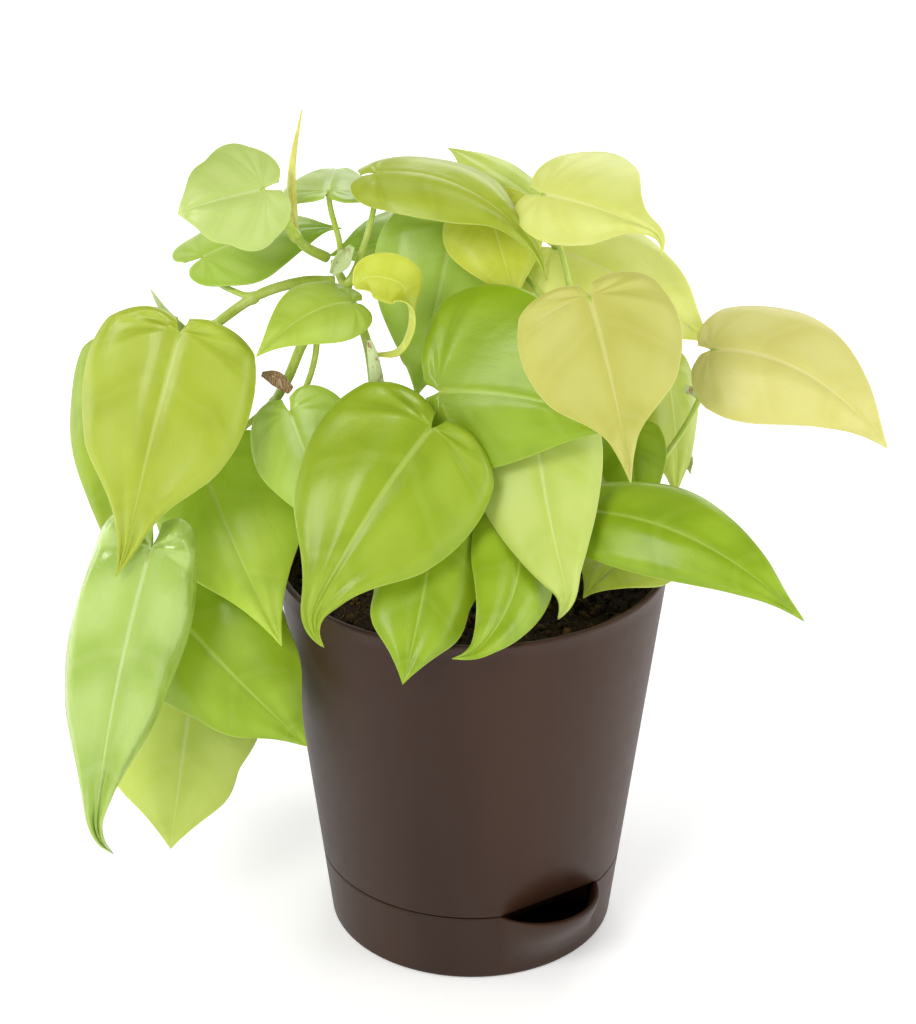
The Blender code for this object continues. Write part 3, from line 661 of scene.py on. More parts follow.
@dataclass(frozen=True)
class Leaf:
    """One leaf: notch and tip in plant millimetres, bends in degrees, widths as shares of its length."""

    name: str
    base: Point
    tip: Point
    facing: tuple[float, float]
    stem: tuple[str, float]
    tone: Tone = Tone.LIME
    width: float = 0.75
    droop: float = 25.0
    cup: float = 30.0
    curl: float = 0.0
    sweep: float = 0.0
    lobe: float = 0.6
    drip: float = 0.0
    skew: float = 0.0
    wave: float = 0.7
    quilt: float = 0.30
    fold: float = 0.35
    thickness: float = 0.40
    hook: float = 0.0
    stretch: float = 0.0

    @property
    def slot(self) -> str:
        """The record's slot for this leaf's age."""
        young = (Tone.YOUNG, Tone.PEACH, Tone.PALE_YOUNG, Tone.BACKLIT_WITH_PAINTED_LIGHT, Tone.YOUNG_LIME, Tone.PALE)
        return "leaf_young" if self.tone in young else "leaf_mature"

    def outline(self) -> tuple[Array, Array, Array]:
        """Give the edge (x, y) and where its vein leaves the midrib, row by row, in leaf lengths."""
        edge = spline(HALF_OUTLINE, ROWS + 1)
        x = np.where(edge[:, 0] < 0, edge[:, 0] * self.lobe, edge[:, 0])
        y = edge[:, 1] * (1 - self.drip * smoothstep(0.50, 0.78, edge[:, 0])) * self.width
        vein = np.maximum.accumulate(np.clip(x - 0.75 * y, 0.0, None))
        vein[-1] = 1.0
        return x, y, vein


class Midrib:
    """The bent centre line of a leaf in space, and the bent blade around it."""

    def __init__(self, leaf: Leaf, soil: Soil) -> None:
        """Bend, turn and scale the midrib so that it runs from the notch to the tip."""
        self.leaf = leaf
        self.base = soil.point(leaf.base)
        self.share = np.linspace(0.0, 1.0, 200)
        tip_part = smoothstep(0.72, 1.0, self.share)
        self.pitch = -radians(leaf.droop) * self.share - radians(leaf.curl) * tip_part
        self.yaw = radians(leaf.sweep) * self.share
        steps = self.heading(self.pitch, self.yaw) / len(self.share)
        self.curve = np.vstack([np.zeros(3), np.cumsum(steps, 0)[:-1]])
        chord = soil.point(leaf.tip) - self.base
        azimuth, elevation = map(radians, leaf.facing)
        faced = np.array((sin(azimuth) * cos(elevation), -cos(azimuth) * cos(elevation), sin(elevation)))
        forward = unit(chord)
        upper = unit(faced - np.dot(faced, forward) * forward)
        world = np.stack([forward, np.cross(upper, forward), upper], 1)
        end = self.curve[-1]
        local_forward = unit(end)
        local_upper = unit(np.array((0, 0, 1.0)) - local_forward[2] * local_forward)
        local = np.stack([local_forward, np.cross(local_upper, local_forward), local_upper], 0)
        self.turn = world @ local
        self.length = float(np.linalg.norm(chord) / np.linalg.norm(end))
        self.draw_out_tip()

    def draw_out_tip(self) -> None:
        """Draw the drip tip out and hook it sideways, past where the plain blade ends."""
        end_part = smoothstep(0.80, 1.0, self.share)
        self.yaw = self.yaw + radians(self.leaf.hook) * end_part
        longer = 1.0 + 2.0 * self.leaf.stretch * smoothstep(0.70, 0.95, self.share)
        steps = self.heading(self.pitch, self.yaw) * (longer / len(self.share))[:, None]
        self.curve = np.vstack([np.zeros(3), np.cumsum(steps, 0)[:-1]])

    @staticmethod
    def heading(pitch: Array, yaw: Array) -> Array:
        """Give the midrib's direction for each pitch and yaw."""
        return np.stack([np.cos(pitch) * np.cos(yaw), np.sin(yaw) * np.cos(pitch), np.sin(pitch)], -1)

    def place(self, x: Array, y: Array, lift: Array) -> Array:
        """Bend points of the flat blade into space.

        Args:
            x: Shares of the length from the notch to the tip.
            y: Distances from the midrib in leaf lengths.
            lift: Heights above the blade's middle sheet in metres.

        Returns:
            The points in metres.
        """
        on_rib = np.clip(x, 0.0, 1.0)
        centre = np.stack([np.interp(on_rib, self.share, self.curve[:, axis]) for axis in range(3)], -1)
        pitch = np.interp(on_rib, self.share, self.pitch)
        yaw = np.interp(on_rib, self.share, self.yaw)
        forward = self.heading(pitch, yaw)
        across = np.stack([-np.sin(yaw), np.cos(yaw), np.zeros_like(yaw)], -1)
        upper = np.cross(forward, across)
        bend = radians(self.leaf.cup) / (self.leaf.width / 2)
        turn = (bend * y)[:, None]
        centre = centre + forward * (x - on_rib)[:, None] + across * np.sin(turn) / bend
        centre = centre - upper * (1 - np.cos(turn)) / bend
        normal = upper * np.cos(turn) + across * np.sin(turn)
        return self.base + self.length * (centre @ self.turn.T) + lift[:, None] * (normal @ self.turn.T)

    def point(self, x: float, y: float = 0.0, lift: float = 0.0) -> Array:
        """Bend one point of the flat blade into space."""
        return self.place(np.array([x]), np.array([y]), np.array([lift]))[0]


@dataclass
class GrownLeaf:
    """One leaf grown on its vine: the relief of its blade, its rim and its stalk with the rib below."""

    leaf: Leaf
    soil: Soil
    vine: Array
    seed: int
    stalk_radius: float = 0.95 * MM
    rings: int = 26
    sides: int = 12
    groove: float = 0.20 * MM
    groove_width: float = 1.2 * MM
    full_length: float = 70 * MM
    swells: float = 6.0
    shoulder: float = 0.9 * MM
    rolled: float = 0.7 * MM
    patch_shift: float = 37.0

    def relief(self, row: Array, off_rib: Array, y: Array, side: int) -> Array:
        """Give the height of the blade's relief in metres.

        Args:
            row: Share of the rows from the notch to the tip.
            off_rib: Share of the way from the midrib to the rim.
            y: Distance from the midrib in leaf lengths.
            side: 1 or -1, the half of the blade.

        Returns:
            Heights: swells between the side veins, the groove over the midrib, a wavy rim that rolls down.
        """
        leaf = self.leaf
        size = self.length / self.full_length
        shift = 1.7 * self.seed + 0.9 * side
        phase = 2 * pi * self.swells * row + 0.5 * np.sin(3 * row + shift)
        reach = smoothstep(0.05, 0.4, off_rib) * (1 - smoothstep(0.72, 1.0, off_rib))
        swell = leaf.quilt * MM * size * (0.5 - 0.5 * np.cos(phase)) * reach
        groove = -self.groove * np.exp(-((y * self.length / self.groove_width) ** 2))
        shoulder = self.shoulder * size * off_rib * np.exp(-3.2 * off_rib)
        tip_fade = 1 - smoothstep(0.80, 1.0, row)
        fold = leaf.fold * MM * size * np.cos(2 * pi * 1.1 * off_rib + 0.5 * side + 0.8 * self.seed)
        fold = fold * smoothstep(0.04, 0.25, off_rib) * (1 - smoothstep(0.80, 1.0, off_rib))
        fold = fold * smoothstep(0.0, 0.15, row)
        ripple = np.sin(2 * pi * (1.6 * row + 0.13 * self.seed) + 1.3 * side)
        ripple = ripple + 0.5 * np.sin(2 * pi * 3.7 * row + shift)
        rim = leaf.wave * MM * size * ripple * smoothstep(0.45, 1.0, off_rib) ** 2 * tip_fade
        rolled = self.rolled * size * off_rib**8
        return (swell + fold + shoulder - rolled) * tip_fade + rim + groove

    def build(self, upper: bpy.types.Material, under: bpy.types.Material, stem: bpy.types.Material) -> None:
        """Make the blade and its stalk."""
        self.bent = Midrib(self.leaf, self.soil)
        self.length = self.bent.length
        self.build_blade(upper, under)
        self.build_stalk(stem)

    def build_blade(self, upper: bpy.types.Material, under: bpy.types.Material) -> None:
        """Make the blade: one sheet in rows that follow the veins, thickened."""
        leaf = self.leaf
        edge_x, edge_y, vein = leaf.outline()
        rows = np.linspace(0.0, 1.0, ROWS + 1)
        index: dict = {}
        flat: list = []
        lifts: list = []
        numbers = {}
        for side in (1, -1):
            x = vein[:, None] + (edge_x - vein)[:, None] * (0.6 * COLUMNS * (1 - COLUMNS) + COLUMNS**2)
            y = edge_y[:, None] * (1.24 * COLUMNS * (1 - COLUMNS) + COLUMNS**2) * (1 + side * leaf.skew)
            lift = self.relief(rows[:, None], COLUMNS[None, :], y, side)
            lift[:, 0] = -self.groove
            for row in range(ROWS + 1):
                for column in range(len(COLUMNS)):
                    key: object = (side, row, column)
                    if row == ROWS:
                        key = "tip"
                    elif column == 0:
                        key = vein[row] if vein[row] > 0 else "notch"
                    if key not in index:
                        index[key] = len(flat)
                        flat.append((x[row, column], side * y[row, column]))
                        lifts.append(lift[row, column])
                    numbers[side, row, column] = index[key]
        faces = []
        corners: list = []
        for side in (1, -1):
            for row in range(ROWS):
                for column in range(len(COLUMNS) - 1):
                    places = [(row, column), (row, column + 1), (row + 1, column + 1), (row + 1, column)]
                    if side > 0:
                        places.reverse()
                    ring = [(numbers[side, *place], place) for place in places]
                    ring = [item for at, item in enumerate(ring) if item[0] != ring[at - 1][0]]
                    faces.append(tuple(number for number, _ in ring))
                    corners += [(rows[r], side * COLUMNS[c], float(self.seed)) for _, (r, c) in ring]
        flat_points = np.array(flat)
        vertices = self.bent.place(flat_points[:, 0], flat_points[:, 1], np.array(lifts))
        shift = np.array((self.patch_shift * self.seed, 0.0))
        on_sheet = np.column_stack([flat_points * self.length / MM + shift, np.zeros(len(flat_points))])
        marks = (("blade", "CORNER", corners), ("flat_mm", "POINT", on_sheet))
        thickness = leaf.thickness * MM
        mount_sheet(leaf.name, "blade", vertices, faces, marks, thickness, (upper, under))

    def build_stalk(self, stem: bpy.types.Material) -> None:
        """Make the stalk out of the vine and on as the rib under the blade."""
        name, share = self.leaf.stem
        place = share * (len(self.vine) - 1)
        start = np.array([np.interp(place, range(len(self.vine)), self.vine[:, axis]) for axis in range(3)])
        step = min(int(place), len(self.vine) - 2)
        vine_way = unit(self.vine[step + 1] - self.vine[step])
        bent = self.bent
        end = bent.point(0.012, 0.0, -0.5 * MM)
        forward = unit(bent.point(0.03) - bent.point(0.0))
        across = unit(bent.point(0.0, 0.01) - bent.point(0.0, -0.01))
        upper = np.cross(forward, across)
        out = end - start
        out = unit(out - 0.9 * np.dot(out, vine_way) * vine_way)
        start = start + 0.6 * MM * out
        reach = np.linalg.norm(end - start)
        arrive = unit(0.35 * forward + 0.9 * upper)
        leave = unit(out + 0.6 * vine_way)
        path = bezier(start, start + leave * 0.38 * reach, end - arrive * 0.38 * reach, end, self.rings)
        rib_x = np.linspace(0.05, 0.90, self.rings)
        taper = self.stalk_radius * (0.50 * (1 - (rib_x - 0.05) / 0.85) ** 0.8 + 0.08)
        rib = bent.place(rib_x, np.zeros(self.rings), -self.groove - 0.2 * MM - 0.3 * taper)
        share_along = np.linspace(0.0, 1.0, len(path))
        stalk = self.stalk_radius * (1.0 + 0.75 * np.exp(-((share_along / 0.06) ** 2)) - 0.12 * share_along)
        stalk = stalk * (1.0 + 0.18 * smoothstep(0.90, 1.0, share_along))
        whole = tube(np.concatenate([path, rib]), np.concatenate([stalk, taper]), self.sides)
        mount(link_mesh(self.leaf.name + "_stalk", *whole, stem))


# Where a stalk leaves: the vine's name, then the share of the vine's length
LEAVES = (
    Leaf("leaf_left_front", (-83, -28, 93), (-100, -52, 28), (-5, 20), ("vine_left_trailing", 0.50),
         Tone.OLIVE, width=0.72, droop=30, lobe=0.45, drip=0.35, fold=0.7, hook=-15, stretch=0.04),
    Leaf("leaf_left_behind", (-96, -12, 80), (-103, -36, 20), (-15, 20), ("vine_left_trailing", 0.74),
         Tone.LIME, width=0.74, droop=20, lobe=0.5),
    Leaf("leaf_left_long", (-92, -46, 34), (-113, -60, -61), (10, 15), ("vine_left_trailing", 0.97),
         Tone.GLOSSY, width=0.38, droop=10, cup=45, curl=25, sweep=12, drip=0.3, wave=0.9, quilt=0.9,
         fold=0.8, hook=45, stretch=0.05),
    Leaf("leaf_left_low", (-93, -22, 5), (-49, -44, -33), (-10, 25), ("vine_left_inner", 0.88), Tone.RICH,
         width=0.84, lobe=0.5, drip=-0.3, skew=0.08, quilt=0.45),
    Leaf("leaf_left_lowest", (-85, -10, -24), (-93, -32, -77), (0, 10), ("vine_left_inner", 0.99),
         Tone.PALE_LIME, width=0.92, lobe=0.5, drip=-0.5, skew=-0.12),
    # This leaf stands in shade; its lighter tone is painted light
    Leaf("leaf_left_shaded", (-81, -11, 45), (-56, -39, -2), (0, 15), ("vine_left_inner", 0.55),
         Tone.GLOWING_WITH_PAINTED_LIGHT, width=0.78, lobe=0.5, drip=0.2, skew=0.12, fold=0.2, quilt=0.2),
    Leaf("leaf_inner_left", (-53, -22, 66), (-37, -40, 32), (-10, 20), ("vine_left_inner", 0.22),
         Tone.FRESH, width=0.80, lobe=0.8, fold=0.2, quilt=0.2, hook=-20, stretch=0.03),
    Leaf("leaf_front_centre", (-12, -38, 68), (-49, -64, 14), (0, 30), ("vine_centre", 0.45), Tone.LIME,
         width=0.78, curl=20, sweep=14, lobe=0.5, drip=0.3, quilt=0.40, wave=0.5, fold=0.7, hook=75,
         stretch=0.12),
    Leaf("leaf_front_right_round", (-10, -26, 74), (43, -40, 68), (0, 25), ("vine_centre", 0.55),
         Tone.RICH, width=0.98, cup=20, sweep=-28, skew=0.2, quilt=0.22, wave=0.3, fold=0.4),
    Leaf("leaf_front_yellow", (31, -46, 111), (43, -62, 62), (0, 30), ("vine_right", 0.94), Tone.YOUNG,
         width=0.88, curl=10, sweep=-6, lobe=0.5, drip=0.55, quilt=0.45),
    Leaf("leaf_top_yellow", (4, 8, 118), (12, -6, 93), (5, 30), ("vine_right", 0.93), Tone.YOUNG_LIME,
         width=1.05, lobe=1.0, quilt=0.2, wave=0.3),
    Leaf("leaf_crown", (-28, 5, 129), (21, -14, 107), (0, 72), ("vine_centre", 0.90), Tone.OLIVE,
         width=0.52, droop=60, sweep=-40, lobe=0.7, drip=0.4, wave=0.4, fold=0.35, quilt=0.15, hook=-35,
         stretch=0.15),
    Leaf("leaf_crown_back", (18, 16, 117), (-8, 32, 128), (0, 75), ("vine_back", 0.98), Tone.PALE_LIME,
         width=0.60, lobe=1.0, drip=-0.4),
    Leaf("leaf_top_right", (19, -5, 126), (55, -24, 119), (0, 48), ("vine_right", 0.97), Tone.PALE_YOUNG,
         width=0.95, sweep=0, droop=35, lobe=1.0, drip=0.5, skew=0.30, quilt=0.25, wave=0.4, hook=-85,
         stretch=0.14),
    # This leaf stands in the shade of the one above; its paler tone is painted light
    Leaf("leaf_right_back", (23, 12, 104), (69, -4, 80), (10, 45), ("vine_right", 0.90), Tone.BACKLIT_WITH_PAINTED_LIGHT,
         width=0.80, sweep=-15, lobe=1.0, drip=-0.2),
    Leaf("leaf_right_reaching", (68, -16, 83), (118, -34, 60), (10, 36), ("vine_right", 0.45), Tone.PEACH,
         width=0.66, droop=60, sweep=-48, lobe=0.5, quilt=0.3, wave=0.5),
    Leaf("leaf_right_low", (35, -32, 39), (94, -58, 17), (10, 40), ("vine_right_low", 0.90), Tone.RICH,
         width=0.44, droop=50, sweep=-30, lobe=0.5, quilt=0.25, wave=0.6, fold=0.3),
    Leaf("leaf_front_pale", (17, -22, 71), (29, -50, 14), (0, 20), ("vine_right", 0.55), Tone.PALE,
         width=0.62, curl=25, sweep=14, lobe=1.0, skew=-0.08, hook=-60, stretch=0.06),
    Leaf("leaf_front_low", (-10, -34, 42), (-20, -70, 3), (0, 25), ("vine_centre", 0.25), Tone.RICH,
         width=0.68, sweep=-6, lobe=1.0, drip=-0.6),
    Leaf("leaf_front_folded", (12, -34, 37), (-4, -70, 9), (15, 20), ("vine_right_low", 0.45), Tone.RICH,
         width=0.56, curl=20, sweep=-60, hook=-45, stretch=0.05),
    Leaf("leaf_right_side", (58, 11, 65), (61, -1, 29), (40, 10), ("vine_right", 0.80), Tone.OLIVE,
         width=0.80, lobe=1.0),
    Leaf("leaf_rim_right", (52, -8, 18), (32, -38, 14), (-20, 50), ("vine_right_low", 0.60), Tone.OLIVE,
         width=0.85, lobe=0.8),
    Leaf("leaf_top_left_round", (-59, -16, 131), (-83, -20, 125), (-15, 28), ("shoot_top_left", 0.70),
         Tone.MILKY, width=1.25, droop=25, cup=25, curl=40, lobe=1.5, drip=-0.4, wave=0.3),
    Leaf("leaf_top_left_flat", (-79, 6, 103), (-39, 20, 107), (0, 78), ("vine_left_trailing", 0.33),
         Tone.FRESH, width=0.85, cup=20, sweep=-20, lobe=1.0, fold=0.15, quilt=0.15),
    Leaf("leaf_top_left_back", (-42, 6, 123), (-41, 42, 118), (0, 85), ("vine_centre", 0.97), Tone.FRESH,
         width=0.80, lobe=1.0),
    # The next two leaves stand in shade; their lighter FRESH tone is painted light that lifts them
    Leaf("leaf_back_upper", (-9, 36, 99), (-43, 18, 99), (0, 50), ("vine_back", 0.78), Tone.FRESH,
         width=0.75, lobe=1.0),
    Leaf("leaf_centre_back", (-6, 14, 110), (-17, -2, 62), (0, 15), ("vine_back", 0.80), Tone.FRESH,
         width=0.85, lobe=1.0),
    Leaf("leaf_inner_top_left", (-35, -15, 97), (-61, -37, 89), (0, 40), ("vine_centre", 0.80),
         Tone.INNER, width=0.62, droop=50, sweep=30, lobe=1.0, wave=0.4, fold=0.2),
    Leaf("leaf_right_shaded", (46, -5, 53), (50, -17, 26), (-10, 10), ("vine_right", 0.40), Tone.RICH,
         width=0.70, cup=15, lobe=0.5),
    Leaf("leaf_rear_1", (-4, 40, 72), (-2, 68, 24), (180, 20), ("vine_back", 0.62), Tone.LIME),
    Leaf("leaf_rear_2", (34, 42, 78), (52, 62, 34), (150, 20), ("vine_back", 0.60), Tone.LIME,
         width=0.65),
    Leaf("leaf_rear_3", (48, 24, 56), (70, 44, 16), (125, 20), ("vine_rear_right", 0.95), Tone.LIME),
    Leaf("leaf_rear_4", (-45, 34, 32), (-63, 52, -12), (210, 20), ("vine_rear_left", 0.85), Tone.LIME),
    Leaf("leaf_rear_5", (-14, 52, 36), (-17, 80, -14), (185, 20), ("vine_rear_left", 0.75), Tone.LIME),
    Leaf("leaf_rear_6", (26, 52, 30), (38, 76, -20), (160, 20), ("vine_rear_right", 0.60), Tone.LIME),
)


# Vines: points in plant millimetres, heights from the soil
VINES = {
    "vine_centre": ((-24, -13, -12), (-24, -13, 3), (-24, -13, 9), (-28, -12, 43), (-30, -10, 77),
                    (-35, -5, 92), (-41, 1, 104)),
    "vine_left_trailing": ((-41.5, -0.5, 98), (-50, -4, 99), (-61, -8, 97), (-71, -10, 91), (-81, -7, 81),
                           (-90, 0, 65), (-96, 0, 46), (-99, -6, 30)),
    "vine_left_inner": ((-39, -7, 92), (-43, -8, 91), (-49, -12, 84), (-54, -11, 72), (-60, -3, 58),
                        (-69, 5, 32), (-80, 6, 8), (-85, 5, -16)),
    "vine_back": ((2, 8, -12), (2, 8, 3), (2, 8, 9), (3, 14, 50), (4, 20, 84), (8, 25, 106)),
    "vine_right": ((24, -4, -12), (24, -4, 3), (24, -4, 9), (31, -8, 45), (32, -12, 74), (26, -12, 92)),
    "vine_right_low": ((14, -16, -12), (14, -16, 3), (14, -16, 9), (20, -16, 22), (28, -14, 36)),
    "vine_rear_left": ((-16, 22, -12), (-16, 22, 3), (-16, 22, 9), (-24, 28, 28), (-34, 32, 44)),
    "vine_rear_right": ((16, 22, -12), (16, 22, 3), (16, 22, 9), (20, 28, 34), (28, 32, 62)),
    "shoot_top_left": ((-43.6, 0.2, 105.4), (-48, -3, 109), (-51, -5, 113), (-54, -8, 119)),
}


@dataclass
class Vines:
    """The climbing stems, with a swollen ring at every place where a stalk leaves.

    The branches start a little before their first point, so that they meet the stem they leave.
    """

    soil: Soil
    radius: float = 1.6 * MM
    sides: int = 16
    step: float = 1.0
    branches: tuple[str, ...] = ("vine_left_trailing", "shoot_top_left", "vine_left_inner")
    bury: float = 0.6
    node_swell: float = 0.45 * MM
    node_width: float = 1.6 * MM
    scar_depth: float = 0.30 * MM
    scar_width: float = 0.5 * MM
    scar_ahead: float = 2.6 * MM

    def path(self, points: Sequence[Point]) -> Array:
        """Sample one vine's curve about every millimetre."""
        length = np.sum(np.linalg.norm(np.diff(np.array(points, float), axis=0), axis=1))
        curve = spline(points, max(12, round(length / self.step)))
        return np.array([self.soil.point(point) for point in curve])

    def radii(self, name: str, path: Array) -> Array:
        """Thin a vine towards its end and swell it at its nodes."""
        share = np.linspace(0.0, 1.0, len(path))
        spacing = float(np.mean(np.linalg.norm(np.diff(path, axis=0), axis=1)))
        radii = self.radius * (1.0 - 0.2 * share)
        for leaf in LEAVES:
            if leaf.stem[0] != name:
                continue
            away = (share - leaf.stem[1]) * (len(path) - 1) * spacing
            radii += self.node_swell * np.exp(-((away / self.node_width) ** 2))
            radii -= self.scar_depth * np.exp(-(((away + self.scar_ahead) / self.scar_width) ** 2))
        return radii

    def build(self, stem: bpy.types.Material) -> dict[str, Array]:
        """Make every vine.

        Args:
            stem: The stems' material.

        Returns:
            The vines' centre lines by name.
        """
        paths = {}
        for name, points in VINES.items():
            path = self.path(points)
            if name in self.branches:
                path = np.vstack([path[0] + (path[0] - path[2]) * self.bury / self.step, path])
            coarse = spline(points, max(8, round(len(path) / 5)))
            paths[name] = np.array([self.soil.point(point) for point in coarse])
            radii = self.radii(name, path)
            radii[-3:] *= np.array((0.95, 0.8, 0.45))
            mount(link_mesh(name + "_stem", *tube(path, radii, self.sides), stem), name)
        return paths


# Small parts of the plant


@dataclass(frozen=True)
class Strip:
    """A thin strip along a path: its half-way points, widths and ways across, its roll and its finish."""

    name: str
    path: tuple[Point, ...]
    widths: tuple[float, ...]
    across: tuple[Point, ...]
    slot: str
    roll: float = 40.0
    thickness: float = 0.35

    def build(self, soil: Soil, finish: bpy.types.Material, under: bpy.types.Material) -> None:
        """Make the strip with a hollow cross-section and soft edges."""
        rows = 14 * len(self.path)
        columns = 13
        centres = np.array([soil.point(point) for point in spline(self.path, rows)])
        widths = spline([(width,) for width in self.widths], rows)[:, 0]
        halves = np.clip(widths, 0.15, None) * MM * soil.scale / 2
        ways = spline(self.across, rows)
        along = np.gradient(centres, axis=0)
        spread = np.linspace(-1.0, 1.0, columns)
        bend = radians(self.roll)
        vertices = []
        for centre, half, side, way in zip(centres, halves, ways, along):
            way = unit(way)
            side = unit(side - np.dot(side, way) * way)
            lift = np.cross(way, side)
            turn = bend * spread
            vertices.append(centre + np.outer(half * np.sin(turn) / bend, side)
                            + np.outer(half * (np.cos(turn) - cos(bend)) / bend, lift))
        faces = []
        for row in range(rows - 1):
            for column in range(columns - 1):
                here = row * columns + column
                faces.append((here, here + 1, here + columns + 1, here + columns))
        places = [((place // columns) / rows, (place % columns) / (columns - 1) * 2 - 1, 0.0)
                  for place in range(rows * columns)]
        flat = [(row * 60.0, column * 8.0, 0.0) for row, column, _ in places]
        marks = (("blade", "POINT", places), ("flat_mm", "POINT", flat))
        mount_sheet(self.name, "detail", np.concatenate(vertices), faces, marks,
                    self.thickness * MM, (finish, under))


STRIPS = (
    Strip("young_leaf_curled",
          ((-30, -13, 80), (-22, -16, 82), (-18, -16, 88), (-17, -14, 95),
           (-19, -13, 101), (-24, -14, 104), (-30, -16, 105), (-34, -18, 103)),
          (1.2, 5, 8, 11, 14, 15, 12, 2),
          ((0, 1, 0), (0, 1, 0.1), (0, 1, 0.2), (0, 1, 0.5),
           (0, 0.6, 1), (0, 0.4, 1), (0, 0.4, 1), (0, 0.4, 1)),
          "leaf_young", 35.0),
    Strip("sheath_centre",
          ((-30, -19, 87), (-29, -19, 82), (-28, -19, 75), (-27, -18, 68)),
          (1.5, 3.5, 4.5, 3.0),
          ((1, 0, 0), (1, 0.1, 0), (1, 0.2, 0), (1, 0.2, 0)), "sheath_green", 60.0),
    Strip("sheath_node",
          ((-41, -6, 102), (-38, -6, 106), (-35, -4, 110)),
          (2.0, 6.0, 2.0),
          ((0.8, 0, -0.6), (0.8, 0, -0.6), (0.8, 0, -0.6)), "sheath_green", 65.0),
    Strip("sheath_dry",
          ((-61, -18, 76), (-57, -19, 75), (-53, -18, 71)),
          (1.5, 5.0, 3.0),
          ((0, 0.3, 1), (0, 0.3, 1), (0.2, 0.3, 1)), "sheath_dry", 60.0),
    Strip("scale_leaf_left",
          ((-82, -19, 89), (-88, -18, 95), (-92, -16, 101)),
          (3.0, 2.4, 0.4),
          ((1, 0, 0.6), (1, 0, 0.6), (1, 0, 0.6)), "sheath_green", 55.0),
    Strip("scale_leaf_right",
          ((62, -4, 66), (65, -5, 65), (69, -6, 61)),
          (3.0, 2.4, 0.4),
          ((0.2, 0, 1), (0.3, 0, 1), (0.4, 0, 1)), "sheath_green", 55.0),
)


@dataclass(frozen=True)
class RolledLeaf:
    """The newest leaf, still rolled into a spear: a tapered roll whose free edge shows as a line."""

    path: tuple[Point, ...] = ((-51.0, -3.6, 112.0), (-52, 0, 120), (-52, 2, 132), (-49, 4, 148))
    radii: tuple[float, ...] = (0.9, 1.5, 1.2, 0.2)
    sides: int = 24
    free_edge: float = 0.22

    def build(self, soil: Soil, finish: bpy.types.Material) -> None:
        """Make the roll."""
        count = 60
        path = np.array([soil.point(point) for point in spline(self.path, count)])
        radii = np.clip(spline([(radius,) for radius in self.radii], count)[:, 0], 0.15, None) * MM
        roll = tube(path, radii, self.sides, self.free_edge)
        mount(link_mesh("new_leaf_spear", *roll, finish), "new_leaf_rolled")


# Pot


